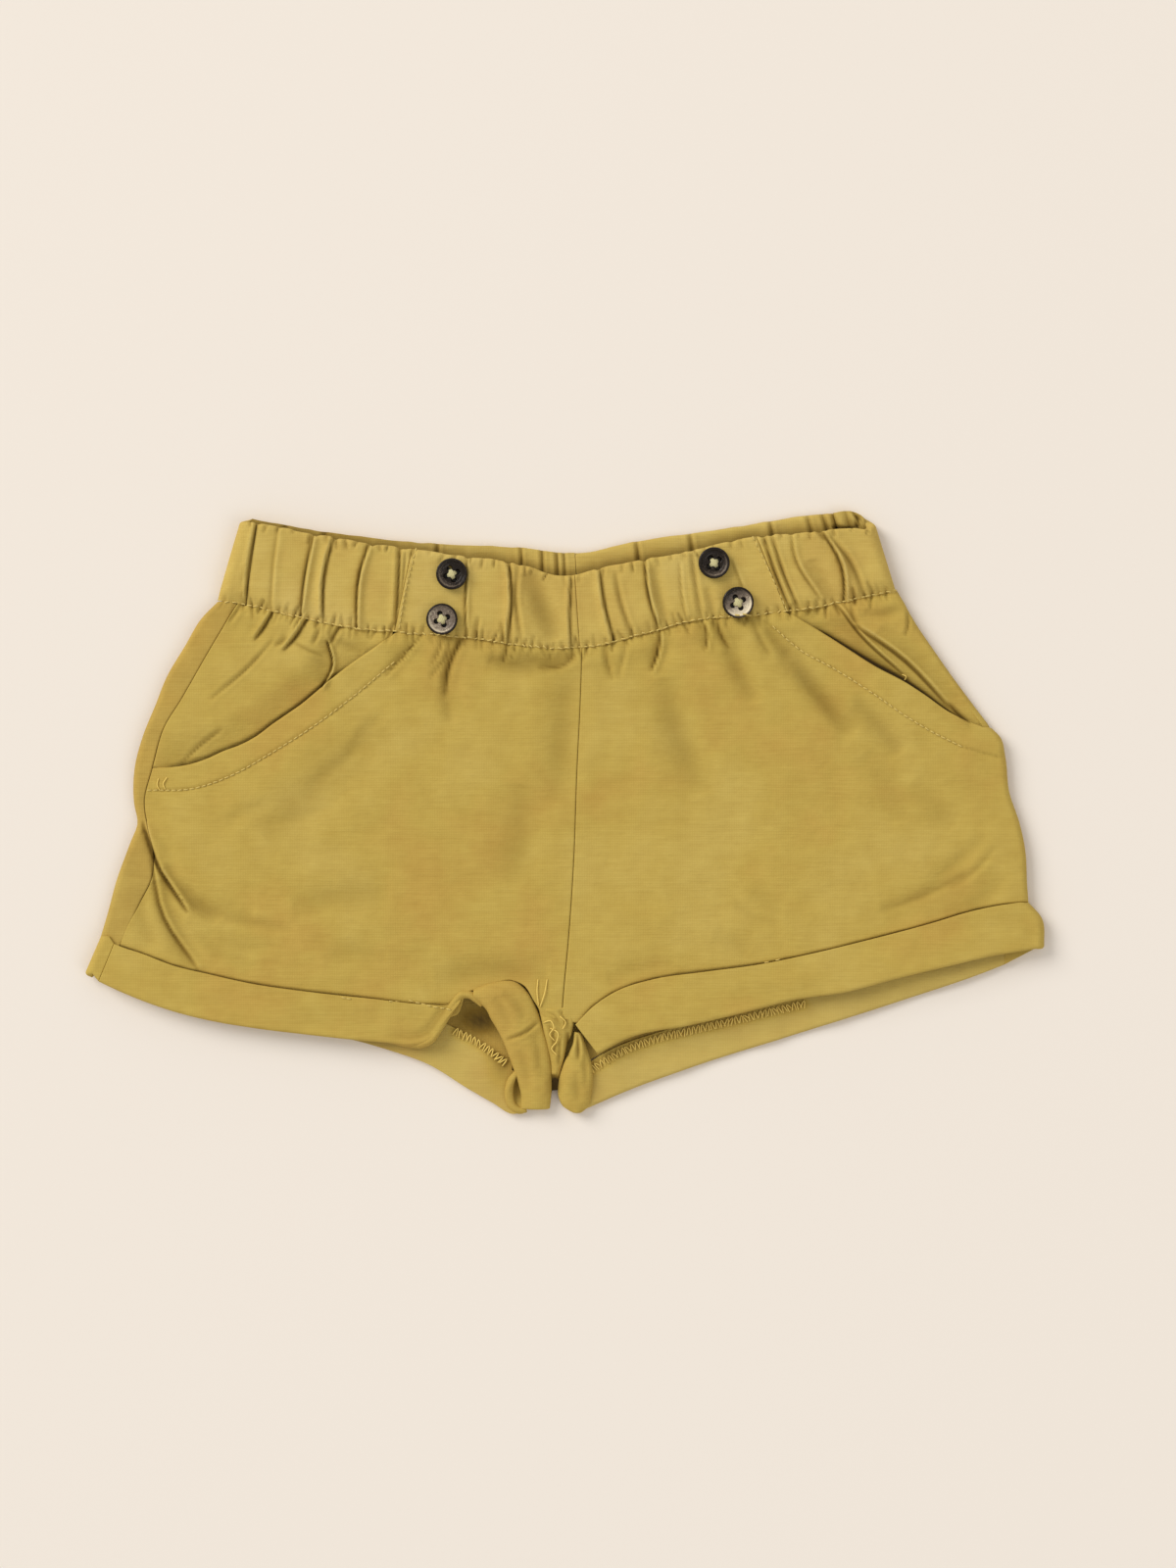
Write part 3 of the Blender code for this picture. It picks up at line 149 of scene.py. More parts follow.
# Creases of the gathered waist, from the top edge down
WAIST_CREASES = (
    Crease(-100, 97, -103, 80, -104.2, 66.5, 0.79, -1.17, LAP),
    Crease(-103.5, 81.5, -105, 75, -105.2, 67, 0.55, 0.65, SHARP),
    Crease(-92.6, 95.5, -94.5, 82.5, -95.7, 64, 0.99, 0.59, LAP),
    Crease(-81, 93, -84, 79, -86.4, 60, 0.79, 1.7, LAP),
    Crease(-74.8, 92, -78.5, 78, -79, 61, 0.73, -1.57, LAP),
    Crease(-62.5, 90, -66.5, 78, -67.7, 58, 0.79, 1.7, LAP),
    Crease(-53.5, 88, -54, 76.5, -55, 61, 0.66, 1.43, SHARP),
    Crease(-51.8, 85, -52.6, 75.5, -54, 66.5, 0.55, 0.91, SHARP),
    Crease(-31.5, 86, -32, 70, -32, 54, 0.66, 1.17, LAP),
    Crease(-28, 64, -28.5, 60.5, -29, 55, 0.66, 0.78, SHARP),
    Crease(-18.5, 84, -17.5, 70, -19, 54, 0.73, -1.7, LAP),
    Crease(-15, 80.5, -16, 73, -14, 55, 0.79, 0.91, SHARP),
    Crease(-20.5, 62.5, -20.2, 59, -19.5, 53, 0.59, 0.78, SHARP),
    Crease(-11.5, 78.5, -7.5, 67.5, -3, 56, 3.6, 1.89, SOFT),
    Crease(2.2, 80, 1.6, 67.5, 2, 52, 0.59, -1.17, LAP),
    Crease(11, 82, 12.5, 69.5, 16.7, 53, 0.79, -1.43, LAP),
    Crease(16.5, 78.5, 18, 70, 23, 55.5, 0.79, 0.91, SHARP),
    Crease(26, 85.5, 27.5, 71.5, 32.2, 56, 0.73, 1.7, LAP),
    Crease(29.3, 80, 30.6, 71.5, 33.4, 62, 1.6, 0.72, SOFT),
    Crease(37.6, 82, 38.5, 70, 40.7, 60, 0.86, 0.65, LAP),
    Crease(41.3, 86, 43, 73, 45.2, 60, 0.79, 0.78, SHARP),
    Crease(46.5, 73.5, 48, 68.5, 48.7, 61, 1.2, 0.58, SOFT),
    Crease(54.5, 82.5, 57, 76.5, 62.3, 62, 0.86, 0.59, LAP),
    Crease(64.6, 91.5, 68, 80, 74.2, 64.5, 0.59, 1.43, SHARP),
    Crease(67.3, 91.5, 71.2, 78.5, 77.3, 64.5, 0.59, 1.17, SHARP),
    Crease(74, 92, 75.2, 83.5, 84, 69, 0.86, 0.91, LAP),
    Crease(83, 93.5, 90.5, 80.5, 91.6, 65.5, 0.79, 1.83, LAP),
    Crease(80.5, 82.5, 83.4, 76, 88, 69, 2.4, 0.87, SOFT),
    Crease(85, 91.5, 92.6, 82.5, 98.6, 69, 0.86, 1.04, SHARP),
    Crease(98.5, 75.5, 100, 73, 101.6, 69, 0.79, 0.65, SHARP),
)

# Creases that fan out below the waist stitching
BELOW_WAIST_CREASES = (
    Crease(-105, 69.5, -107, 65.5, -109.6, 62, 0.72, 0.77, SHARP),
    Crease(-94.5, 68, -97.5, 62, -101.4, 56.5, 0.79, -1.42, LAP),
    Crease(-84, 64, -88, 57.5, -92, 53, 0.86, -1.42, LAP),
    Crease(-90.5, 57.5, -92.6, 55.4, -94.5, 54.8, 0.86, 0.77, SHARP),
    Crease(-79.6, 61.5, -80.4, 58.5, -82, 55, 0.72, 0.77, SHARP),
    Crease(-72, 63, -75, 58, -77, 54.5, 0.79, 1.16, SHARP),
    Crease(-77.4, 56.4, -75.6, 48.8, -79.2, 40.6, 0.62, 2.3, LAP),
    Crease(-88, 55.5, -83.5, 53, -78.5, 51, 0.7, 0.7, SHARP),
    Crease(-76, 56, -72.5, 55, -66, 52, 1.5, 0.81, SOFT),
    Crease(-111.5, 27.5, -119.5, 21.5, -126.5, 15, 0.6, 0.8, SHARP),
    Crease(-94.5, 57, -102.5, 48, -115.5, 37, 0.6, 0.7, SHARP),
    Crease(-45.5, 59, -51, 52.5, -58.5, 44, 0.86, 0.77, LAP),
    Crease(-39.5, 59, -41, 52.5, -44, 47.5, 0.72, 0.77, SHARP),
    Crease(-37, 59, -38.5, 51.5, -44, 44, 0.79, 0.77, SHARP),
    Crease(-32.6, 59, -38.2, 46.2, -39, 38, 1, 1.45, SHARP),
    Crease(-38.9, 40.5, -38.2, 34.5, -36.6, 28, 1.5, 0.5, SOFT),
    Crease(-19, 57.5, -19, 53, -20.2, 49, 0.79, 1.16, SHARP),
    Crease(-24.5, 51, -18, 48, -9, 47.5, 2.4, 0.81, SOFT),
    Crease(-15, 51.5, -4, 49, 4, 51.5, 2, 1.08, SOFT),
    Crease(-9, 47.5, -0.5, 48, 4.4, 52.5, 0.86, 0.77, SHARP),
    Crease(13, 56, 14, 49, 15.7, 43, 0.79, 0.65, SHARP),
    Crease(20.5, 58, 19, 50.5, 17.3, 43.5, 0.86, 0.51, SHARP),
    Crease(31.5, 60, 30.5, 51.5, 28.3, 46, 0.86, 1.54, LAP),
    Crease(45, 63.5, 46.8, 57.5, 46, 52.5, 0.86, 1.16, LAP),
    Crease(49, 64.5, 51, 58, 54, 53, 0.86, 1.28, SHARP),
    Crease(53.5, 53.5, 57.5, 44.5, 62.5, 36, 2.4, 0.68, SOFT),
    Crease(60.6, 64, 63.5, 57, 67, 51, 1.08, 0.65, SHARP),
    Crease(64.5, 62, 68, 57.5, 74, 50.5, 1.6, 0.81, SOFT),
    Crease(71.5, 53.5, 82, 40, 95, 25.6, 3, 0.85, SOFT),
    Crease(94, 38, 101.5, 30, 110, 19, 3.4, 0.6, SOFT),
    Crease(89, 68, 97.3, 57.6, 111, 45.2, 0.65, 1.42, LAP),
    Crease(94.5, 61.5, 111, 50.2, 126.7, 34, 0.94, 1.61, LAP),
    Crease(125.6, 36, 128.2, 32.9, 132.5, 29.4, 0.65, 1.9, SHARP),
    Crease(93.3, 68, 94.5, 63, 96.8, 60, 0.86, 0.77, SHARP),
    Crease(98, 65.5, 103.5, 64.5, 110.5, 66.5, 1.6, 0.81, SOFT),
    Crease(112, 65.6, 112.3, 61.5, 111.2, 57.5, 0.58, 0.76, SHARP),
)

# Large soft folds of the body
BODY_CREASES = (
    Crease(-95, 66, -97.5, 62, -102, 56, 2.2, 0.35),
    Crease(-84, 61.5, -88, 57.5, -92, 53, 2.2, 0.35),
    Crease(-94.5, 57, -102.5, 48, -115, 37.5, 2.2, 0.2),
    Crease(-72, 61, -77, 54, -78.5, 42, 3, 0.8),
    Crease(-111.5, 27.5, -119.5, 21.5, -126, 15.5, 2.2, 0.25),
    Crease(-45.5, 56, -51, 52.5, -58, 44.5, 3.5, 0.57),
    Crease(-32.5, 57.5, -38, 47.5, -36, 30, 3, 0.7),
    Crease(-24.5, 51, -9, 47.5, 4, 51.5, 4, 1.03),
    Crease(1, 48, -0.5, 25.5, -3, 3, 5, 0.92),
    Crease(13, 54, 14, 49, 15.5, 43.5, 3, 0.57),
    Crease(31, 57.5, 30.5, 51.5, 28.5, 46.5, 3, 0.8),
    Crease(45.5, 61.5, 46.5, 57.5, 46, 53, 3, 0.69),
    Crease(50, 62, 54, 53, 62, 36.5, 3.5, 0.69),
    Crease(66, 60, 82, 40, 94.5, 26, 4.8, 0.8),
    Crease(76, 46, 85, 35.5, 92.5, 25, 1.8, 0.5),
    Crease(94.5, 35.5, 101.5, 29, 109.5, 19.5, 4, 0.57),
    Crease(32, 43.5, 37, 25, 45, 6, 5, 1.15),
    Crease(88, 67.5, 94.5, 58, 108, 47, 3.2, 0.69),
    Crease(102.5, 59.5, 116, 49, 128, 36, 4, 0.8),
    Crease(-98, -8, -78.5, 11, -59, 29.5, 6.5, 0.75),
    Crease(-62, 27, -72, 17, -84, 9, 1.8, 0.35),
    Crease(-70, 8, -82, 0, -97, -3, 2, 0.3),
    Crease(-96, 3, -102, 1.5, -110, -3, 2, 0.35),
    Crease(-58, 33, -66, 26, -71, 19, 1.5, 0.25),
    Crease(-137.6, -3, -132.6, -17, -122.5, -32.5, 1.1, 1.9, LAP),
    Crease(-131, -18, -123, -27, -113, -35.5, 2.6, 1.15),
    Crease(-124, -29.5, -107, -35, -88, -38.6, 1.7, 0.65),
    Crease(-131, -21, -118, -29, -101, -33, 3, 0.5),
    Crease(-134.6, -14, -131.4, -32, -119, -51.6, 1.2, 1.1, LAP),
    Crease(-133, -22, -129, -33, -120.5, -50, 3, 1.35),
    Crease(-137.5, -23, -138, -32, -134, -43.5, 2.6, 0.7),
    Crease(-121, -40, -112, -46, -100, -50, 2.2, 0.35),
    Crease(-112, -42, -104, -44, -94, -43, 2, 0.3),
    Crease(-88.5, -30.5, -72.5, -27.5, -56.5, -26.5, 4.5, 0.69),
    Crease(-78.5, -47.5, -69, -45.5, -58, -46.5, 3.5, 0.46),
    Crease(-13.5, 9.5, -14.5, -6.5, -17.5, -24, 6, 0.8),
    Crease(-42, -54, -27.5, -51.5, -5, -52, 4, 0.92),
    Crease(61, -26.5, 66, -29.5, 71, -31, 3.5, 0.4),
    Crease(48.5, -40, 54, -42, 60.5, -45, 3.5, 0.4),
    Crease(103, -32, 117, -27, 131, -19.8, 1.2, 0.42, SHARP),
    Crease(126, -24.5, 133.5, -19, 141, -10.5, 1.1, 0.35, SHARP),
    Crease(103.5, -31.5, 119.5, -26, 132.5, -18.5, 4.2, 0.5),
    Crease(117, -25.5, 128.3, -15.9, 138, -7.5, 2, 0.4),
    Crease(55.5, -29.5, 63, -34.6, 70, -36.5, 1.6, 0.4),
    Crease(118, -33.5, 135.5, -29, 143.5, -18.5, 3.2, 0.57),
    Crease(113.5, 9.5, 119.5, 3, 127.5, -5, 5, 0.46),
    Crease(14, -54, 23.5, -51, 36.5, -49, 3, 0.46),
    Crease(97.5, 19, 105.5, 9.5, 108.5, -3.5, 5, 0.57),
    Crease(-138, -4, -134.5, -11.5, -131, -19, 1.3, 1.15, SHARP),
)


def hermite(knots: Array, values: Array, place: Array) -> Array:
    """Read a smooth curve through values given at knots.

    Args:
        knots: Rising places of the values.
        values: One value or one row of values for each knot.
        place: Places to read.

    Returns:
        The values at those places.
    """
    slopes = np.gradient(values, knots, axis=0)
    index = np.clip(np.searchsorted(knots, place) - 1, 0, len(knots) - 2)
    span = knots[index + 1] - knots[index]
    t = (place - knots[index]) / span
    if values.ndim > 1:
        span = span[..., None]
        t = t[..., None]
    return ((2 * t ** 3 - 3 * t ** 2 + 1) * values[index]
            + (t ** 3 - 2 * t ** 2 + t) * span * slopes[index]
            + (3 * t ** 2 - 2 * t ** 3) * values[index + 1]
            + (t ** 3 - t ** 2) * span * slopes[index + 1])


def ease(value: Array) -> Array:
    """Smooth step from 0 to 1."""
    t = np.clip(value, 0.0, 1.0)
    return t * t * (3 - 2 * t)


def bell(value: Array, middle: float | Array = 0.0, width: float | Array = 1.0) -> Array:
    """Round hump of height 1 about a middle."""
    return np.exp(-((value - middle) / width) ** 2)


def shares(count: int) -> Array:
    """Even shares from 0 to 1."""
    return np.linspace(0.0, 1.0, count)


def between(share: Array, sharpness: float) -> Array:
    """1 along a line, falling to 0 at its two ends."""
    return ease(share * sharpness) * ease((1 - share) * sharpness)


def xy(grid: Array) -> tuple[Array, Array]:
    """Plan coordinates of a grid."""
    return grid[..., 0], grid[..., 1]


def patch(grid: Array, x: float, y: float, width: float, length: float) -> Array:
    """Round patch of strength 1 about a place in plan."""
    return bell(grid[..., 0], x, width) * bell(grid[..., 1], y, length)


class Line:
    """A smooth line in plan through a few points."""

    def __init__(self, points: Points | Array) -> None:
        """Measure the line.

        Args:
            points: The points that it goes through, in millimetres.
        """
        self.points = np.array(points, float)
        steps = np.linalg.norm(np.diff(self.points, axis=0), axis=1)
        self.run = np.concatenate(([0.0], np.cumsum(steps)))
        self.length = float(self.run[-1])

    def at(self, share: Array | float) -> Array:
        """Plan points at shares of the length."""
        return hermite(self.run, self.points, np.asarray(share, float) * self.length)

    def level(self, x: Array | float) -> Array:
        """The line's y at x, for a line that runs from left to right."""
        x = np.clip(np.asarray(x, float), self.points[0, 0], self.points[-1, 0])
        return hermite(self.points[:, 0], self.points[:, 1], x)

    def x_at(self, y: Array) -> Array:
        """The line's x at y, for a line that runs downwards."""
        return np.interp(y, self.points[::-1, 1], self.points[::-1, 0])

    def shifted(self, distance: float) -> "Line":
        """The line moved sideways, to the left of its direction."""
        direction = np.gradient(self.points, self.run, axis=0)
        direction /= np.linalg.norm(direction, axis=1)[:, None]
        return Line(self.points + distance * np.column_stack((-direction[:, 1], direction[:, 0])))

    def moved(self, dx: float, dy: float) -> "Line":
        """The line moved by a distance in x and one in y."""
        return Line(self.points + np.array((dx, dy)))

    def part(self, start: float, end: float, count: int = 24) -> "Line":
        """The smooth line between two shares of its length."""
        return Line(self.at(np.linspace(start, end, count)))

    def stretch(self, start_x: float, end_x: float, count: int = 90) -> "Line":
        """The part of a left-to-right line between two places."""
        x = np.linspace(start_x, end_x, count)
        return Line(np.column_stack((x, self.level(x))))

    def nearest(self, x: Array, y: Array, count: int = 20) -> tuple[Array, Array]:
        """Distance of plan points from the line.

        Args:
            x: Their x.
            y: Their y.
            count: Straight pieces that stand for the line.

        Returns:
            The distance, positive on the left of the line's direction, and the share of the
            length where the line is nearest.
        """
        knots = self.at(shares(count + 1))
        best = np.full(x.shape, np.inf)
        side = np.ones(x.shape)
        share = np.zeros(x.shape)
        for k in range(count):
            step = knots[k + 1] - knots[k]
            reach_x = x - knots[k, 0]
            reach_y = y - knots[k, 1]
            t = np.clip((reach_x * step[0] + reach_y * step[1]) / (step @ step), 0.0, 1.0)
            gap = np.hypot(reach_x - t * step[0], reach_y - t * step[1])
            closer = gap < best
            best = np.where(closer, gap, best)
            side = np.where(closer, np.sign(step[0] * reach_y - step[1] * reach_x), side)
            share = np.where(closer, (k + t) / count, share)
        return best * np.where(side < 0, -1.0, 1.0), share


class Ripple:
    """Uneven rise and fall of cloth, from a seeded lattice."""

    CELLS = 97
    ORIGIN = (40.3, 40.7)    # the frame's origin on the lattice, in cells

    def __init__(self, seed: int, width: float, length: float, height: float) -> None:
        """Draw the lattice.

        Args:
            seed: Seed of the random draw.
            width: Distance between lattice points in x, in millimetres.
            length: The same in y.
            height: Largest rise, in millimetres.
        """
        self.values = np.random.default_rng(seed).uniform(-1.0, 1.0, (self.CELLS, self.CELLS))
        self.width = width
        self.length = length
        self.height = height

    def at(self, x: Array, y: Array) -> Array:
        """Rise at plan points.

        Args:
            x: Their x.
            y: Their y.

        Returns:
            The rise, in millimetres.
        """
        u = x / self.width + self.ORIGIN[0]
        v = y / self.length + self.ORIGIN[1]
        i = np.floor(u).astype(int)
        j = np.floor(v).astype(int)
        s = ease(u - i)
        t = ease(v - j)
        i %= self.CELLS - 1
        j %= self.CELLS - 1
        low = self.values[i, j] * (1 - s) + self.values[i + 1, j] * s
        high = self.values[i, j + 1] * (1 - s) + self.values[i + 1, j + 1] * s
        return self.height * (low * (1 - t) + high * t)


class Creases:
    """A set of creases, read together."""

    REACH = 5.0          # how many half widths a crease acts on
    END_FADE = 0.4       # how quickly a crease fades out at its ends
    SHOULDER = (0.25, 2.1)       # soft crease: height and place of its shoulders
    LIP = (0.4, 2.0, 1.1)        # sharp crease: height, place and width of its lips
    LAP_TOP = (0.75, 0.9, 1.3)   # lap: the same of its raised side
    LAP_STEP = 0.9               # lap: half widths over which it steps up

    def __init__(self, *tables: Sequence[Crease]) -> None:
        """Keep the tables' rows and the route of each."""
        self.rows = [row for table in tables for row in table]
        self.routes = [Line(((r.x0, r.y0), (r.x1, r.y1), (r.x2, r.y2))) for r in self.rows]

    def at(self, x: Array, y: Array) -> tuple[Array, Array]:
        """Height and tone of the cloth at plan points.

        Args:
            x: Their x.
            y: Their y.

        Returns:
            The height, and the tone from below -1 for painted shade in a crease to 1 on a ridge, where it is
            wear and a painted highlight.
        """
        height = np.zeros(x.shape)
        tone = np.zeros(x.shape)
        for row, route in zip(self.rows, self.routes):
            margin = self.REACH * row.width
            low = route.points.min(axis=0) - margin
            high = route.points.max(axis=0) + margin
            near = (x > low[0]) & (x < high[0]) & (y > low[1]) & (y < high[1])
            if not near.any():
                continue
            gap, share = route.nearest(x[near], y[near], 8)
            fade = np.sin(np.pi * np.clip(share, 0.0, 1.0)) ** self.END_FADE
            rise, mark = self.profile(row, gap / row.width)
            height[near] += rise * fade
            tone[near] += mark * fade
        return height, np.clip(tone, -1.35, 1.0)

    def profile(self, row: Crease, gap: Array) -> tuple[Array, Array]:
        """Height and tone across a crease.

        Args:
            row: The crease.
            gap: Distance from it in half widths, positive on the left of its route.

        Returns:
            Height in millimetres, and tone.
        """
        size = abs(row.depth)
        away = np.abs(gap)
        if row.kind is SOFT:
            height, place = self.SHOULDER
            rise = -row.depth * bell(gap) + height * row.depth * bell(away, place)
            # painted shade along the soft trough
            return rise, -0.3 * size * np.exp(-gap ** 2 * 1.5)
        if row.kind is SHARP:
            rise = -row.depth * np.exp(-away ** 1.4)
            rise += self.LIP[0] * row.depth * bell(away, *self.LIP[1:])
            # painted shade along the narrow trough
            return rise, -0.8 * size * bell(gap, 0.0, 0.7)
        over = gap * math.copysign(1.0, row.depth)
        height, place, width = self.LAP_TOP
        rise = size * np.where(over > 0, height * bell(over, place, width), -np.exp(-away ** 1.3))
        blend = ease((over + 0.25) / self.LAP_STEP)
        step = size * (-0.85 * (1 - blend) * bell(np.minimum(over, 0)) + height * blend)
        rise = np.where(away < self.LAP_STEP, step, rise)
        # painted highlight on the raised lip, painted shade at the foot of the step
        return rise, size * (0.35 * bell(over, 0.8, 0.5) - 0.95 * bell(over, -0.35, 0.55))


def gathers(stitch: Line, seed: int, spacing: float, below: float, above: float) -> list[Crease]:
    """Small puckers across a gathered seam.

    Args:
        stitch: The seam.
        seed: Seed of the random draw.
        spacing: Mean distance between puckers, in millimetres.
        below: Longest reach on the right of the seam's direction.
        above: Longest reach on its left.

    Returns:
        A sharp crease for each pucker.
    """
    draw = np.random.default_rng(seed)
    made = []
    place = margin = 2.0
    while place < stitch.length - margin:
        middle = stitch.at(place / stitch.length)
        ahead = stitch.at(min(place + 1.0, stitch.length) / stitch.length) - middle
        ahead /= np.linalg.norm(ahead)
        across = np.array((-ahead[1], ahead[0]))
        slant = draw.uniform(-0.35, 0.35)
        start = middle + (across - ahead * slant) * above * draw.uniform(0.3, 1.0)
        end = middle - (across - ahead * slant) * below * draw.uniform(0.3, 1.0)
        made.append(Crease(*start, *middle, *end, draw.uniform(0.4, 0.7),
                           draw.uniform(0.3, 0.95), SHARP))
        place += spacing * draw.uniform(0.6, 1.5)
    return made


@dataclass(frozen=True)
class Body:
    """Sizes of the garment's layers and the plain form of its body."""

    cloth: float = 1.2
    hem_wall: float = 2.4
    casing_wall: float = 3.0
    body_stack: float = 4.8
    hem_stack: float = 5.8
    casing_stack: float = 7.2
    crown: float = 1.3
    crown_reach: float = 22.0
    hem_step: float = 1.2
    hem_width: float = 14.5
    hem_slope: float = 5.2
    hem_seam_share: float = 0.042
    casing_width: float = 25.5
    seam_under: float = 10.0
    turn_steps: int = 16

    def lift(self, x: Array, y: Array) -> Array:
        """Height of the front's outer face without folds: low at the sides, higher inside."""
        inside = np.minimum(x - LEFT_EDGE.x_at(y), RIGHT_EDGE.x_at(y) - x) - self.body_stack / 2
        return self.body_stack + self.crown * (1 - np.exp(-np.maximum(inside, 0.0) / self.crown_reach))


PUCKER_STEP = 0.9               # distance between points of a gathered edge
PUCKER_WIDTHS = (3.3, 9.0)      # widths of its small and its large ripples


def puckered(points: Points, seed: int, height: float, dips: Sequence[Crease] = ()) -> Line:
    """A left-to-right line that gathering has made uneven.

    Args:
        points: Points of the even line.
        seed: Seed of its ripples.
        height: Largest ripple, in millimetres.
        dips: Creases that pull it down where they start.

    Returns:
        The uneven line.
    """
    start, end = points[0][0], points[-1][0]
    x = np.linspace(start, end, int((end - start) / PUCKER_STEP))
    y = Line(points).level(x)
    for k, width in enumerate(PUCKER_WIDTHS):
        y = y + Ripple(seed + k, width, 50.0, height).at(x, x * 0)
    for dip in dips:
        y -= 0.45 * abs(dip.depth) * bell(x, dip.x0, 0.9)
    return Line(np.column_stack((x, y)))


LEFT_EDGE = Line(LEFT_SIDE)
RIGHT_EDGE = Line(RIGHT_SIDE)
WAIST_TOP = puckered(FRONT_TOP, 51, 0.22, [c for c in WAIST_CREASES if c.y0 > 80.2])
WAIST_STITCH = puckered(FRONT_STITCH, 53, 0.28)
BACK_WAIST_TOP = puckered(BACK_TOP, 57, 0.18)
BODY = Body()


def back_stitch(x: Array) -> Array:
    """The stitched edge of the back casing, parallel to its top."""
    return BACK_WAIST_TOP.level(x) - BODY.casing_width


# Grids of points

EDGE_STEPS = np.array((0.0, 0.12, 0.3, 0.55, 0.9, 1.4))    # distances from a rounded edge


def spaced(length: float, step: float, start: bool = True, end: bool = True) -> Array:
    """Shares of a length for a grid, closer together near an edge that is rounded.

    Args:
        length: The length, in millimetres.
        step: Distance between points away from the edges.
        start: Whether the start is a rounded edge.
        end: Whether the end is one.

    Returns:
        Rising shares from 0 to 1.
    """
    first = EDGE_STEPS if start else EDGE_STEPS[:1]
    last = length - (EDGE_STEPS if end else EDGE_STEPS[:1])[::-1]
    count = max(int(round((last[0] - first[-1]) / step)), 2)
    return np.concatenate((first, np.linspace(first[-1], last[0], count + 1)[1:-1], last)) / length


def coons(top: Line, low: Line, left: Line, right: Line, across: Array, down: Array) -> Array:
    """Blend four edges into a grid of plan points, with rows from top to low.

    Args:
        top: Upper edge, from left to right.
        low: Lower edge, from left to right.
        left: Left edge, downwards.
        right: Right edge, downwards.
        across: Shares along the upper and lower edges.
        down: Shares along the other two.

    Returns:
        The grid, as rows, columns and plan coordinates.
    """
    u = across[None, :, None]
    v = down[:, None, None]
    tops, lows = top.at(across)[None], low.at(across)[None]
    lefts, rights = left.at(down)[:, None], right.at(down)[:, None]
    corners = ((tops[:, :1] + lefts[:1]) / 2, (tops[:, -1:] + rights[:1]) / 2,
               (lows[:, :1] + lefts[-1:]) / 2, (lows[:, -1:] + rights[-1:]) / 2)
    return ((1 - v) * tops + v * lows + (1 - u) * lefts + u * rights
            - (1 - u) * (1 - v) * corners[0] - u * (1 - v) * corners[1]
            - (1 - u) * v * corners[2] - u * v * corners[3])


def ruled(start: Array, end: Array, across: Array) -> Array:
    """Rows of plan points, each straight from one edge to the other."""
    u = across[None, :, None]
    return start[:, None] * (1 - u) + end[:, None] * u


def raised(plan: Array, height: Array | float) -> Array:
    """Give plan points their height."""
    return np.dstack((plan, np.broadcast_to(height, plan.shape[:2])))


def wrapped(under: Array, over: Array, level: Array | float, side: int, stack: float) -> Array:
    """Join a grid that lies on the table to one on top, round the side fold between them.

    Args:
        under: Lower rows in plan, from the fold inwards.
        over: Upper rows in plan, from the fold inwards.
        level: Height of the upper rows.
        side: -1 at the left and +1 at the right.
        stack: Height of the fold.

    Returns:
        The grid from the lower rows' inner end round the fold to the upper rows' inner end, or
        the other way round on the right, so that its face points outwards.
    """
    under, over = raised(under, 0.0), raised(over, level)
    share = (np.arange(1, BODY.turn_steps) / BODY.turn_steps)[None, :, None]
    angle = np.pi * share[..., 0]
    turn = under[:, :1] * (1 - share) + over[:, :1] * share
    turn[..., 0] += side * stack / 2 * np.sin(angle)
    turn[..., 2] = over[:, :1, 2] / 2 * (1 - np.cos(angle))
    grid = np.concatenate((under[:, ::-1], turn, over), axis=1)
    return grid if side < 0 else grid[:, ::-1]


def normals(grid: Array) -> Array:
    """Outward directions of a grid whose rows run down and columns to the right."""
    facing = np.cross(np.gradient(grid, axis=0), np.gradient(grid, axis=1))
    return facing / np.maximum(np.linalg.norm(facing, axis=2, keepdims=True), 1e-9)


def up_and_down(grid: Array) -> tuple[Array, Array]:
    """How much each point of a grid faces up, and how much it faces down."""
    level = normals(grid)[..., 2]
    return np.clip(level, 0.0, 1.0), np.clip(-level, 0.0, 1.0)


def edge_drop(grid: Array, radii: tuple[float | Array, float, float, float]) -> Array:
    """How far an outer face falls towards its rounded edges.

    Args:
        grid: The face.
        radii: Radius at the first row, last row, first column and last column; 0 is plain,
            and a row of radii gives one for each column.

    Returns:
        The fall at each point, in millimetres.
    """
    total = np.zeros(grid.shape[:2])
    for axis, (first, last) in enumerate((radii[:2], radii[2:])):
        steps = np.linalg.norm(np.diff(grid, axis=axis), axis=2)
        run = np.cumsum(steps, axis=axis)
        zero = np.zeros_like(run[:1] if axis == 0 else run[:, :1])
        run = np.concatenate((zero, run), axis=axis)
        whole = run[-1:] if axis == 0 else run[:, -1:]
        for radius, distance in ((first, run), (last, whole - run)):
            if np.any(radius > 0):
                rest = np.clip(radius - distance, 0.0, radius)
                total += radius - np.sqrt(radius ** 2 - rest ** 2)
    return total


# Meshes

def placed(name: str, data: Any) -> Object:
    """Put a new object with this data into the scene."""
    made = bpy.data.objects.new(name, data)
    bpy.context.scene.collection.objects.link(made)
    return made


def made_piece(name: str, points: Array, faces: list[list[int]], finish: Material | None,
               tone: Array | None = None) -> Object:
    """Make a smooth piece.

    Args:
        name: Name of the piece.
        points: Its points, in millimetres.
        faces: Its faces.
        finish: Its material, if it has one.
        tone: Tone of each point, from painted shade to wear with a painted highlight, if it has one.

    Returns:
        The piece.
    """
    mesh = bpy.data.meshes.new(name)
    mesh.from_pydata((points * MM).tolist(), [], faces)
    if tone is not None:
        mark = mesh.attributes.new("tone", "FLOAT", "POINT")
        mark.data.foreach_set("value", tone.astype(np.float32))
    if finish:
        mesh.materials.append(finish)
    mesh.shade_smooth()
    return placed(name, mesh)


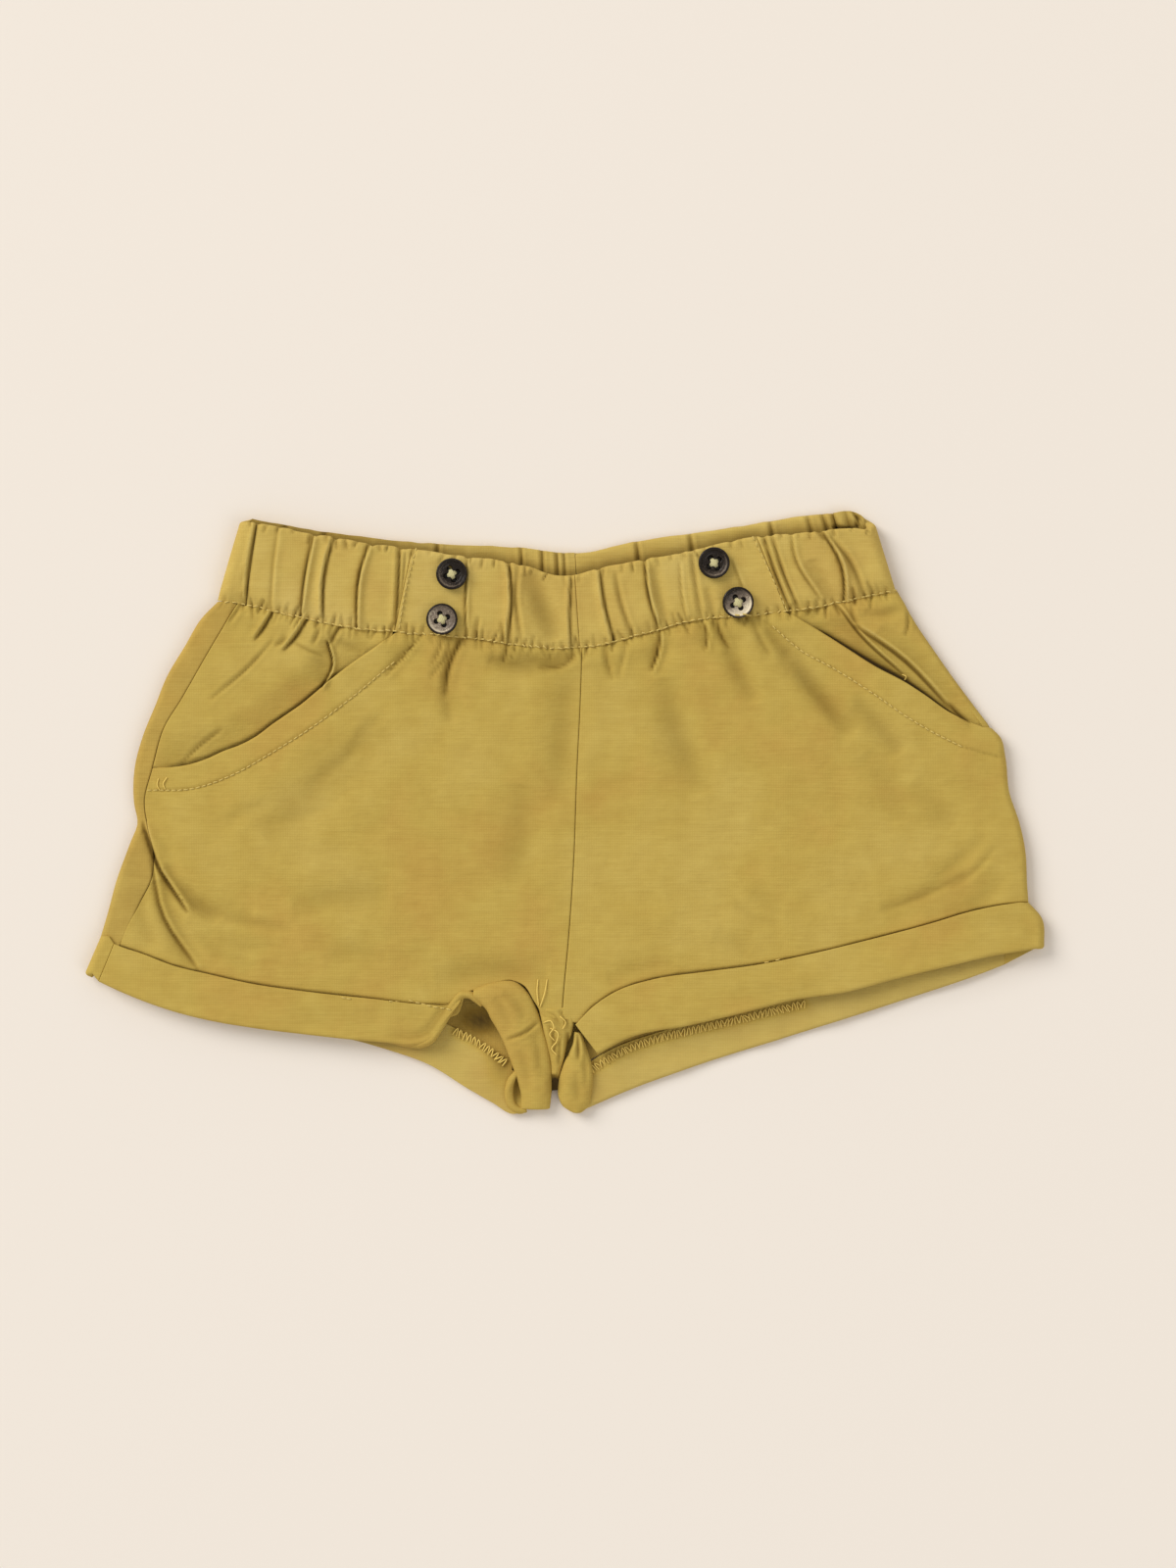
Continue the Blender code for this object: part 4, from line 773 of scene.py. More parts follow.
def round_faces(rows: int, sides: int, first: int = 0) -> list[list[int]]:
    """Faces round rows of points, closed at both ends.

    Args:
        rows: Number of rows.
        sides: Points in each row.
        first: Index of the first point.

    Returns:
        The faces, row by row, and then the two ends.
    """
    index = first + np.arange(rows * sides).reshape(rows, sides)
    ahead = np.roll(index, -1, axis=1)
    quads = np.stack((index[:-1], index[1:], ahead[1:], ahead[:-1]), axis=-1).reshape(-1, 4)
    return quads.tolist() + [index[0].tolist(), index[-1, ::-1].tolist()]


def rolled(table: Rows, sides: int = 20) -> tuple[Array, list[list[int]]]:
    """Points and faces of a rolled edge, closed at both ends.

    Args:
        table: x, y, height and radius along its middle, in millimetres.
        sides: Points round it.

    Returns:
        The points and the faces.
    """
    rows = np.array(table)
    line = Line(rows[:, :2])
    run = line.run / line.length
    share = shares(int(line.length / 0.45))
    plan = line.at(share)
    level, radius = (hermite(run, rows[:, k], share) for k in (2, 3))
    ahead = np.gradient(plan, axis=0)
    ahead /= np.linalg.norm(ahead, axis=1)[:, None]
    side = np.column_stack((ahead[:, 1], -ahead[:, 0]))
    angle = np.arange(sides) / sides * 2 * np.pi
    reach = radius[:, None] * (1 + 0.06 * np.sin(3 * angle + share[:, None] * 11))
    across = reach * np.cos(angle)
    grid = np.dstack((plan[:, :1] + side[:, :1] * across, plan[:, 1:] + side[:, 1:] * across,
                      level[:, None] + reach * np.sin(angle)))
    return grid.reshape(-1, 3), round_faces(grid.shape[0], sides)


def closed_shell(name: str, outer: Array, inner: Array, tone: Array, inner_tone: Array,
                 finish: Material, rolls: Rows = ()) -> Object:
    """Make a closed wall between two grids of points in millimetres.

    Args:
        name: Name of the piece.
        outer: Outer face, rows down and columns to the right as seen from outside.
        inner: Inner face, point by point behind the outer one.
        tone: Tone of each outer point, from painted shade to wear with a painted highlight.
        inner_tone: The same of each inner point.
        finish: Its material.
        rolls: A rolled edge to join to it.

    Returns:
        The piece.
    """
    rows, columns = outer.shape[:2]
    index = np.arange(rows * columns).reshape(rows, columns)
    a, b = index[:-1, :-1], index[1:, :-1]
    c, d = index[1:, 1:], index[:-1, 1:]
    front = np.stack((a, b, c, d), axis=-1).reshape(-1, 4)
    back = front[:, ::-1] + rows * columns
    loop = np.concatenate((index[0, :-1], index[:-1, -1], index[-1, :0:-1], index[:0:-1, 0]))
    ahead = np.roll(loop, -1)
    rim = np.stack((loop, ahead, ahead + rows * columns, loop + rows * columns), axis=-1)
    points = np.concatenate((outer.reshape(-1, 3), inner.reshape(-1, 3)))
    faces = np.concatenate((front, back, rim)).tolist()
    tones = np.concatenate((tone.ravel(), inner_tone.ravel()))
    if rolls:
        more, more_faces = rolled(rolls)
        faces += [[k + len(points) for k in face] for face in more_faces]
        points = np.concatenate((points, more))
        tones = np.concatenate((tones, np.zeros(len(more))))
    return made_piece(name, points, faces, finish, tones)


@dataclass
class Cloth:
    """A cut piece of cloth: its form, its finish and what it says of itself."""

    nodes: tuple[str, ...]
    slot: str
    cut: tuple[float, float]
    base: Array
    relief: Array
    tone: Array
    wall: float | Array
    radii: tuple[float | Array, float, float, float]
    rests_on: tuple[str, ...]
    share: float = 1.0
    rolls: Rows = ()
    inner_tone: Array | float = 0.0

    @property
    def name(self) -> str:
        """Name of the piece, from its first node."""
        return f"{self.nodes[0]}_cloth"

    def build(self, finish: Material) -> Object:
        """Args:
            finish: Its material.

        Returns:
            The piece.
        """
        facing = normals(self.base)
        drop = edge_drop(self.base, self.radii)
        outer = self.base + facing * (self.relief - drop)[..., None]
        wall = np.broadcast_to(self.wall, self.relief.shape)
        inner = self.base + facing * (self.relief - np.maximum(wall, drop + 0.15))[..., None]
        outer[..., 2] = np.maximum(outer[..., 2], 0.0)
        inner[..., 2] = np.maximum(inner[..., 2], 0.0)
        inner_tone = np.broadcast_to(self.inner_tone, self.relief.shape)
        made = closed_shell(self.name, outer, inner, self.tone, inner_tone, finish, self.rolls)
        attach(made, "root")
        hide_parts(*self.nodes)
        log.info("%s: %d faces", self.name, len(made.data.polygons))
        return made


# Form of the cloth on top of the body

class FrontForm:
    """Creases, puckers and steps of the cloth that lies on top, from waist to hems."""

    STITCH_GROOVE = 0.28     # depth of the groove at the waist stitching
    WAIST_PUFF = 0.6         # swell of the gathered cloth below it
    BAND_LIFT = 0.3          # step of the doubled cloth along a pocket mouth
    TUCK_DEPTH = 1.9         # how far the front sinks under a turned-up hem
    MOUTH_DROP = 2.0         # how far a pocket back sinks under a mouth
    MOUTH_REACH = 11.0       # distance over which it does
    GAPE = 0.9               # how much the right pocket mouth stands open
    OPENING = ((0.02, 0.82), (0.1, 0.9))     # share of each mouth where it is open
    HOLE_PITCH = 2.0         # distance between the topstitching's needle holes

    def __init__(self) -> None:
        """Collect the creases and draw the ripples."""
        self.creases = Creases(BELOW_WAIST_CREASES, BODY_CREASES,
                               gathers(WAIST_STITCH, 11, 2.7, 4.5, 4.5))
        self.ripples = (Ripple(3, 19.0, 14.0, 0.35), Ripple(5, 7.0, 5.0, 0.12),
                        Ripple(8, 2.6, 1.8, 0.03))
        self.left_hem = Line(LEFT_HEM_TOP)
        self.right_hem = Line(RIGHT_HEM_TOP)
        self.mouths = (Line(LEFT_MOUTH), Line(RIGHT_MOUTH))
        self.topstitches = (Line(LEFT_TOPSTITCH), Line(RIGHT_TOPSTITCH))

    def creased(self, x: Array, y: Array) -> tuple[Array, Array]:
        """Creases and ripples alone.

        Args:
            x: Plan x of the points.
            y: Plan y of the points.

        Returns:
            Height in millimetres, and tone.
        """
        height, tone = self.creases.at(x, y)
        for ripple in self.ripples:
            height = height + ripple.at(x, y)
        return height, tone

    def waist(self, x: Array, y: Array) -> Array:
        """The groove at the waist stitching and the swell below it."""
        below = WAIST_STITCH.level(np.clip(x, -113.0, 108.5)) - y
        return self.WAIST_PUFF * bell(below, 4.0, 2.6) - self.STITCH_GROOVE * bell(below, 0.0, 0.9)

    def panel(self, x: Array, y: Array) -> tuple[Array, Array]:
        """Height over the plain form, and tone, of the two front panels.

        Args:
            x: Plan x of the points.
            y: Plan y of the points.

        Returns:
            Height in millimetres, and tone.
        """
        height, tone = self.creased(x, y)
        height = height + self.waist(x, y)
        for stitch in self.topstitches:
            gap, share = stitch.nearest(x, y)
            near_end = between(share, 25)
            height += self.BAND_LIFT * ease(gap / 1.4 + 0.3) * ease(2.0 - np.abs(gap) / 9.0) * near_end
            holes = 0.65 - 0.35 * np.cos(2 * np.pi * share * stitch.length / self.HOLE_PITCH)
            height -= 0.32 * bell(gap, 0.0, 0.6) * near_end * holes
            # painted shade in the needle holes of the topstitching
            tone -= 0.35 * bell(gap, 0.0, 0.45) * near_end * holes
        gap, share = self.mouths[1].nearest(x, y)
        height += self.GAPE * np.sin(np.pi * share) ** 2 * ease(1 - np.abs(gap) / 9.0)
        for hem, side in ((self.left_hem, -1), (self.right_hem, 1)):
            gap, share = hem.nearest(x, y)
            inside = between(share, 14)
            under = ease((0.5 - gap) / 1.4) * np.maximum(inside, (x * side > 60) * 1.0)
            height -= self.TUCK_DEPTH * under
            # painted shade along the sewn edge of the hem
            tone -= 0.5 * bell(gap, 0.0, 0.5) * inside
        return height, tone

    def pocket(self, x: Array, y: Array, which: int) -> tuple[Array, Array]:
        """Height and tone of a pocket back, which sinks under the band at the mouth, with painted shade in
        the mouth.

        Args:
            x: Plan x of the points.
            y: Plan y of the points.
            which: 0 for the left pocket, 1 for the right one.

        Returns:
            Height in millimetres, and tone.
        """
        height, tone = self.creased(x, y)
        gap, share = self.mouths[which].nearest(x, y)
        sunk = ease(1 - gap / self.MOUTH_REACH) * ease(share * 9) * ease((1 - share) * 9 + 0.6 * which)
        height = height * (1 - 0.55 * sunk) + self.waist(x, y) - self.MOUTH_DROP * sunk
        low, high = self.OPENING[which]
        open_part = ease((share - low) * 9) * ease((high - share) * 9)
        wide = which * bell(share, 0.48, 0.26)
        inwards = np.maximum(gap, 0)
        gaping = bell(inwards, 0.0, 0.7 + 1.7 * wide)
        line = np.exp(-(inwards / (0.4 + 1.1 * wide)) ** 4)
        # painted shade under the band, darkest in a line where the mouth stands open
        tone = tone - (0.3 + (0.3 + 0.4 * which) * open_part) * gaping
        tone -= (0.5 + 0.9 * which) * open_part * line
        return height - 0.9 * gaping * open_part, tone


@dataclass
class Panels:
    """The body: two backs, two fronts with their folded pocket edges, two pocket backs."""

    step: float = 0.85           # distance between points on the front
    back_step: float = 1.9       # the same on the back, which lies on the table
    gap: float = 0.04            # half of the space at a seam
    lap: float = 0.12            # how far the cloth reaches into the casing's stitched edge
    seam_radius: float = 0.45    # roundness of the cloth at a seam
    waist_radius: float = 0.05   # the same at the waist stitching
    mouth_radius: float = 0.9
    tuck: float = 4.0            # how far a front reaches under its hem
    under_crease: float = 0.5    # depth of the creases of the underside
    back_size: tuple[float, float] = (115.0, 130.0)    # width and length that the points cover
    front_size: tuple[float, float] = (145.0, 112.0)
    front_right_width: float = 143.0
    pocket_step: float = 0.8
    pocket_size: tuple[float, float] = (85.0, 52.0)
    pocket_right_width: float = 72.0
    low_shift: tuple[float, float] = (-1.1, -3.2)      # of the rolled side just above its hem
    form: FrontForm = field(default_factory=FrontForm)

    def round_right(self, over: Array, fold: Line, down: Array) -> Array:
        """Turn a piece round the right side, as far as the hidden seam.

        Args:
            over: Its grid on top, from the fold inwards.
            fold: The fold, downwards.
            down: Shares along it.

        Returns:
            The whole grid.
        """
        reach = BODY.seam_under - BODY.body_stack / 2
        under = ruled(fold.at(down), fold.moved(-reach, 0.0).at(down),
                      spaced(reach, self.pocket_step, start=False))
        return wrapped(under, over, BODY.lift(*xy(over)), 1, BODY.body_stack)

    def top_relief(self, grid: Array, relief: Array, tone: Array) -> tuple[Array, Array]:
        """Keep the relief of the top, and give the underside shallow creases of its own.

        Args:
            grid: The whole wrapped face.
            relief: Relief worked out for the top.
            tone: Tone worked out for the top.

        Returns:
            Relief and tone for the whole face.
        """
        up, down = up_and_down(grid)
        up = up ** 0.7
        shallow = self.under_crease * (0.5 + Ripple(21, 9.0, 6.0, 0.5).at(*xy(grid)))
        return relief * up - shallow * down, tone * up

    def top_radius(self, grid: Array) -> Array:
        """Roundness along the top row of a front: sewn at the waist, free at the mouth."""
        x = grid[0, :, 0]
        waist = (x > LEFT_MOUTH[-1][0]) & (x < RIGHT_MOUTH[0][0])
        return np.where(waist, self.waist_radius, self.mouth_radius)[None]

    def back_left(self) -> Cloth:
        """The left back, rolled round the side to the seam on the front."""
        inset = BODY.body_stack / 2
        down = spaced(self.back_size[1], self.back_step)
        fold = LEFT_EDGE.moved(inset, 0.0)
        seam = Line(LEFT_SEAM).moved(-self.gap, 0.0)
        hem = Line(LEFT_BACK_HEM).shifted(BODY.hem_width + self.gap).points[2:-1]
        crotch = BACK_SEAM[-1]
        low = Line(np.vstack((fold.at(1.0), hem, (LEFT_BACK_HEM[-1][0], crotch[1]),
                              (crotch[0] - self.gap, crotch[1]))))
        x = np.linspace(LEFT_SIDE[0][0] + inset, BACK_SEAM[0][0] - self.gap, 9)
        top = Line(np.vstack((fold.at(0.0), np.column_stack((x, back_stitch(x) - self.gap))[1:])))
        middle = Line(BACK_SEAM).moved(-self.gap, -self.gap)
        across = spaced(self.back_size[0], self.back_step, start=False)
        under = coons(top, low, fold, middle, across, down)
        over = ruled(fold.at(down), seam.at(down), spaced(8.0, 0.6, start=False))
        over += np.array(self.low_shift) * ease((down - 0.86) / 0.14)[:, None, None]
        base = wrapped(under, over, BODY.lift(*xy(over)), -1, BODY.body_stack)
        relief, tone = self.form.creased(*xy(base))
        relief, tone = self.top_relief(base, relief * 0.6, tone)
        # painted shade deep inside the left leg, on the inner face
        shade = -1.9 * patch(base, -27.5, -68.0, 7.0, 4.6)
        return Cloth(("back_left",), "inside", (135.0, 150.0), base, relief, tone, BODY.cloth,
                     (0.0, 0.0, self.seam_radius, self.seam_radius), ("floor",), 0.9, inner_tone=shade)

    def back_right(self) -> Cloth:
        """The right back, flat on the table as far as the hidden side seam."""
        width, length = self.back_size
        seam = Line(RIGHT_SIDE).moved(-BODY.seam_under - self.gap, 0.0)
        hem = Line(RIGHT_BACK_HEM).shifted(BODY.hem_width + self.gap).points[:-2]
        crotch = BACK_SEAM[-1]
        low = Line(np.vstack(((crotch[0] + self.gap, crotch[1]), hem, seam.points[-1])))
        x = np.linspace(BACK_SEAM[0][0] + self.gap, seam.points[0, 0], 9)
        top = Line(np.vstack((np.column_stack((x, back_stitch(x) - self.gap))[:-1], seam.points[0])))
        middle = Line(BACK_SEAM).moved(self.gap, -self.gap)
        plan = coons(top, low, middle, seam, spaced(width, self.back_step), spaced(length, self.back_step))
        base = raised(plan, 0.0)[:, ::-1]
        plain = np.zeros(base.shape[:2])
        relief, tone = self.top_relief(base, plain, plain)
        return Cloth(("back_right",), "inside", (135.0, 150.0), base, relief, tone, BODY.cloth,
                     (0.0, 0.0, self.seam_radius, self.seam_radius), ("floor",), 0.85)

    def front_left(self) -> Cloth:
        """The left front, with the folded edge of its pocket mouth."""
        start = (LEFT_MOUTH[0][0] + self.gap, LEFT_MOUTH[0][1])
        seam = [p for p in Line(LEFT_SEAM).moved(self.gap, 0.0).points if p[1] < start[1] - 1.0]
        left = Line([start] + [tuple(p) for p in seam] + [(seam[-1][0] - 1.2, seam[-1][1] - 4.0)])
        waist = WAIST_STITCH.stretch(LEFT_MOUTH[-1][0] + 2.0, CENTRE_SEAM[0][0] - self.gap)
        mouth = Line(LEFT_MOUTH).part(0.0, 0.985, 16).points
        top = Line(np.vstack((start, mouth[1:], waist.moved(0.0, self.lap).points)))
        hem = Line(LEFT_HEM_TOP).shifted(-self.tuck).points[2:-1]
        low = Line(np.vstack((left.points[-1], hem, np.array(LEFT_LEG_END) + (0.0, -0.2))))
        middle = Line(CENTRE_SEAM).moved(-self.gap, 0.0)
        width, length = self.front_size
        plan = coons(top, low, left, middle, spaced(width, self.step), spaced(length, self.step))
        relief, tone = self.form.panel(*xy(plan))
        return Cloth(("front_left", "pocket_band_left"), "cloth", (165.0, 125.0),
                     raised(plan, BODY.lift(*xy(plan))), relief, tone, BODY.cloth,
                     (self.top_radius(plan), 0.4, self.seam_radius, self.seam_radius),
                     ("back_left_cloth",), 0.75)

    def front_right(self) -> Cloth:
        """The right front, turned round the side to the hidden seam."""
        end = (RIGHT_MOUTH[-1][0] - 0.5, RIGHT_MOUTH[-1][1] + 1.0)
        side = [end] + [p for p in RIGHT_SIDE if p[1] < RIGHT_MOUTH[-1][1] - 1.5]
        side += [(side[-1][0] + 0.3, side[-1][1] - 3.0)]
        fold = Line(side).moved(-BODY.body_stack / 2, 0.0)
        waist = WAIST_STITCH.stretch(CENTRE_SEAM[0][0] + self.gap, RIGHT_MOUTH[0][0] - 2.0)
        mouth = Line(RIGHT_MOUTH).part(0.015, 0.94, 16).points
        top = Line(np.vstack((waist.moved(0.0, self.lap).points, mouth, fold.at(0.0))))
        hem = Line(RIGHT_HEM_TOP).shifted(-self.tuck).points[1:-1]
        low = Line(np.vstack((RIGHT_LEG_START, (4.0, -68.5), hem, fold.at(1.0))))
        middle = Line(CENTRE_SEAM).moved(self.gap, 0.0)
        down = spaced(self.front_size[1], self.step)
        across = spaced(self.front_right_width, self.step, end=False)
        base = self.round_right(coons(top, low, middle, fold, across, down)[:, ::-1], fold, down)
        relief, tone = self.top_relief(base, *self.form.panel(*xy(base)))
        return Cloth(("front_right", "pocket_band_right"), "cloth", (165.0, 125.0), base, relief, tone,
                     BODY.cloth, (self.top_radius(base), 0.4, self.seam_radius, self.seam_radius),
                     ("back_right_cloth",), 0.8)

    def pocket_edge(self, mouth: Line) -> Array:
        """The low edge of a pocket back, tucked under the band but for its two ends.

        Args:
            mouth: The pocket's mouth.

        Returns:
            Points along the edge.
        """
        share = shares(14)
        places = mouth.at(share)
        ahead = mouth.at(np.minimum(share + 0.01, 1.0)) - mouth.at(np.maximum(share - 0.01, 0.0))
        ahead /= np.linalg.norm(ahead, axis=1)[:, None]
        reach = 6.0 * np.sin(np.pi * share)[:, None] ** 0.8
        return places + reach * np.column_stack((ahead[:, 1], -ahead[:, 0]))

    def pocket_back_left(self) -> Cloth:
        """The side piece inside the left mouth."""
        low_points = self.pocket_edge(self.form.mouths[0])
        seam = Line(LEFT_SEAM).moved(self.gap, 0.0).points
        seam = seam[seam[:, 1] > LEFT_MOUTH[0][1] + 1.5]
        left = Line(np.vstack((seam, low_points[0])))
        waist = WAIST_STITCH.stretch(seam[0][0], low_points[-1][0]).moved(0.0, self.lap)
        top = Line(np.vstack((seam[0], waist.points[1:])))
        right = Line((top.points[-1], low_points[-1]))
        across, down = (spaced(size, self.pocket_step, end=False) for size in self.pocket_size)
        plan = coons(top, Line(low_points), left, right, across, down)
        relief, tone = self.form.pocket(*xy(plan), 0)
        return Cloth(("pocket_back_left",), "cloth", (92.0, 62.0),
                     raised(plan, BODY.lift(*xy(plan))), relief, tone, BODY.cloth,
                     (self.waist_radius, 0.0, self.seam_radius, 0.0), ("back_left_cloth",), 0.55)

    def pocket_back_right(self) -> Cloth:
        """The side piece inside the right mouth, turned round the side to the hidden seam."""
        low_points = self.pocket_edge(self.form.mouths[1])
        end = (RIGHT_MOUTH[-1][0] + 1.0, RIGHT_MOUTH[-1][1] - 2.2)
        side = [p for p in RIGHT_SIDE if p[1] > end[1] + 1.5] + [end]
        fold = Line(side).moved(-BODY.body_stack / 2, 0.0)
        low = Line(np.vstack((low_points[:-2], fold.at(1.0))))
        waist = WAIST_STITCH.stretch(low_points[0][0], fold.points[0, 0]).moved(0.0, self.lap)
        top = Line(np.vstack((waist.points[:-1], fold.at(0.0))))
        left = Line((top.points[0], low_points[0]))
        down = spaced(self.pocket_size[1], self.pocket_step, end=False)
        across = spaced(self.pocket_right_width, self.pocket_step, start=False, end=False)
        base = self.round_right(coons(top, low, left, fold, across, down)[:, ::-1], fold, down)
        relief, tone = self.top_relief(base, *self.form.pocket(*xy(base), 1))
        return Cloth(("pocket_back_right",), "cloth", (80.0, 42.0), base, relief, tone, BODY.cloth,
                     (self.waist_radius, 0.0, self.seam_radius, 0.0), ("back_right_cloth",), 0.6)

    def pieces(self) -> list[Cloth]:
        """All six, from the table up."""
        return [self.back_left(), self.back_right(), self.pocket_back_left(), self.pocket_back_right(),
                self.front_left(), self.front_right()]


@dataclass(frozen=True)
class Cross:
    """A cross line of the casing: its x at the top edge and at the stitched edge."""

    top: float
    low: float

    def moved(self, distance: float) -> "Cross":
        """The cross line moved in x."""
        return Cross(self.top + distance, self.low + distance)


@dataclass
class Casing:
    """The gathered waist: front pieces up to the button flaps, side pieces and back pieces."""

    step: float = 0.55
    gap: float = 0.02
    edge_radius: float = 1.3
    low_radius: float = 0.05
    seam_radius: float = 0.45
    groove: float = 0.2         # depth of the stitched line below the body's cloth
    fall: float = 2.4           # distance over which the casing falls to it
    flap_lift: float = 0.35     # how much a button flap lies over its neighbour
    cut: float = 26.0           # flat height of a piece
    gather: float = 1.25        # flat width of a front piece over its gathered one
    left_seam: Cross = Cross(-100.3, -104.0)
    left_flap: Cross = Cross(-49.5, -55.4)
    centre: Cross = Cross(3.4, 5.0)
    right_flap: Cross = Cross(62.4, 72.4)

    @property
    def radii(self) -> tuple[float, float, float, float]:
        """Roundness of the four edges of a piece."""
        return self.edge_radius, self.low_radius, self.seam_radius, self.seam_radius

    @property
    def right_fold(self) -> Cross:
        """Cross line where the right side turns over."""
        inset = BODY.casing_stack / 2
        return Cross(FRONT_TOP[-1][0] - inset, FRONT_STITCH[-1][0] - inset)

    def __post_init__(self) -> None:
        """Collect the creases of the outer face and of the back's inner face."""
        self.creases = Creases(WAIST_CREASES, gathers(WAIST_STITCH, 11, 2.7, 4.5, 4.5),
                               gathers(WAIST_TOP, 23, 4.2, 4.0, 2.0))
        self.inside = Creases(INSIDE_CREASES)
        self.ripples = (Ripple(31, 9.0, 20.0, 0.3), Ripple(33, 3.0, 7.0, 0.1))

    def relief(self, base: Array) -> tuple[Array, Array]:
        """Relief of the outer face on top.

        Args:
            base: The face.

        Returns:
            Height in millimetres, and tone.
        """
        x, y = xy(base)
        height, tone = self.creases.at(x, y)
        for ripple in self.ripples:
            height = height + ripple.at(x, y)
        return height, tone

    def level(self, plan: Array) -> Array:
        """Height of the outer face on top, which falls to the body at the stitching.

        Args:
            plan: Its plan points.

        Returns:
            The height, in millimetres.
        """
        x, y = xy(plan)
        stitch = WAIST_STITCH.level(x)
        low = BODY.lift(x, stitch) - self.groove
        share = np.exp(-(np.maximum(y - stitch, 0.0) / self.fall) ** 1.5)
        return BODY.casing_stack - (BODY.casing_stack - low) * share

    @staticmethod
    def shade(base: Array) -> Array:
        """Painted shade on the back's inner face, darker where it goes down behind the front."""
        above = base[..., 1] - WAIST_TOP.level(base[..., 0])
        return -0.75 * bell(np.maximum(above, 0.0), 0.0, 2.6)

    def flat(self, start: Cross, end: Cross, top: Callable[[Array], Array],
             low: Callable[[Array], Array], count: int, start_edge: bool = True) -> Array:
        """Plan grid between two cross lines, rows from the top edge down.

        Args:
            start: First cross line.
            end: Last cross line.
            top: The top edge's y at x.
            low: The stitched edge's y at x.
            count: Number of columns.
            start_edge: Whether the first cross line is a rounded edge.

        Returns:
            The grid.
        """
        length = abs(end.top - start.top)
        share = spaced(length, length / count, start=start_edge)
        top_x = start.top + (end.top - start.top) * share
        low_x = start.low + (end.low - start.low) * share
        upper = np.column_stack((top_x, top(top_x)))
        lower = np.column_stack((low_x, low(low_x)))
        down = spaced(BODY.casing_width, self.step)[:, None, None]
        return upper[None] * (1 - down) + lower[None] * down

    def columns(self, start: Cross, end: Cross) -> int:
        """How many columns a stretch takes."""
        return max(int(abs(end.top - start.top) / self.step), 8)

    def front_piece(self, name: str, start: Cross, end: Cross, raise_by: float = 0.0) -> Cloth:
        """A flat piece of the front casing.

        Args:
            name: The node that it stands for.
            start: Left cross line.
            end: Right cross line.
            raise_by: How much it lies over its neighbour.

        Returns:
            The piece.
        """
        start, end = start.moved(self.gap), end.moved(-self.gap)
        plan = self.flat(start, end, WAIST_TOP.level, WAIST_STITCH.level, self.columns(start, end))
        base = raised(plan, self.level(plan) + raise_by)
        relief, tone = self.relief(base)
        length = abs(end.low - start.low)
        return Cloth((name,), "casing", (length * self.gather, self.cut), base, relief, tone,
                     BODY.casing_wall, self.radii, ("waist_back_left_cloth", "waist_back_right_cloth"))

    def back_right(self) -> Cloth:
        """The right back casing, of which the inner face shows."""
        start = self.centre.moved(self.gap)
        end = self.right_fold.moved(-BODY.seam_under - self.gap)
        plan = self.flat(start, end, BACK_WAIST_TOP.level, back_stitch, self.columns(start, end))
        base = raised(plan, BODY.casing_wall)
        relief, tone = self.inside.at(*xy(base))
        relief = relief + self.ripples[0].at(*xy(base)) - 0.3
        return Cloth(("waist_back_right",), "casing", (105.0, self.cut), base, relief,
                     tone + self.shade(base), BODY.casing_wall + relief, self.radii, ("floor",))

    def back_left(self) -> Cloth:
        """The left back casing, turned round the side to the seam on the front."""
        inset = BODY.casing_stack / 2
        fold = Cross(FRONT_TOP[0][0] + inset - 1.5, FRONT_STITCH[0][0] + inset)
        start = self.centre.moved(-self.gap)
        under = self.flat(start, fold, BACK_WAIST_TOP.level, back_stitch, self.columns(start, fold))
        seam = self.left_seam.moved(-self.gap)
        over = self.flat(fold, seam, WAIST_TOP.level, WAIST_STITCH.level, 6, start_edge=False)
        base = wrapped(under[:, ::-1], over, self.level(over), -1, BODY.casing_stack)
        relief, tone = self.relief(base)
        up, down = up_and_down(base)
        inner, inner_tone = self.inside.at(*xy(base))
        return Cloth(("waist_back_left",), "casing", (135.0, self.cut), base, relief * up, tone * up,
                     BODY.casing_wall + (inner - 0.2) * down, self.radii, ("floor",),
                     inner_tone=(inner_tone + self.shade(base)) * down)

    def side_right(self) -> Cloth:
        """The right side casing, turned round the side to the hidden seam."""
        start, fold = self.right_flap.moved(self.gap), self.right_fold
        over = self.flat(start, fold, WAIST_TOP.level, WAIST_STITCH.level, self.columns(start, fold))
        over = over[:, ::-1]
        end = fold.moved(-BODY.seam_under)
        under = self.flat(fold, end, BACK_WAIST_TOP.level, back_stitch, 12, start_edge=False)
        base = wrapped(under, over, self.level(over), 1, BODY.casing_stack)
        relief, tone = self.relief(base)
        up, down = up_and_down(base)
        inner, inner_tone = self.inside.at(*xy(base))
        return Cloth(("waist_side_right",), "casing", (60.0, self.cut), base, relief * up, tone * up,
                     BODY.casing_wall + inner * down, self.radii, ("waist_back_right_cloth",),
                     inner_tone=(inner_tone + self.shade(base)) * down)

    def pieces(self) -> list[Cloth]:
        """All six, from the table up."""
        return [self.back_left(), self.back_right(), self.side_right(),
                self.front_piece("waist_side_left", self.left_seam, self.left_flap),
                self.front_piece("waist_front_left", self.left_flap, self.centre, self.flap_lift),
                self.front_piece("waist_front_right", self.centre, self.right_flap, self.flap_lift)]


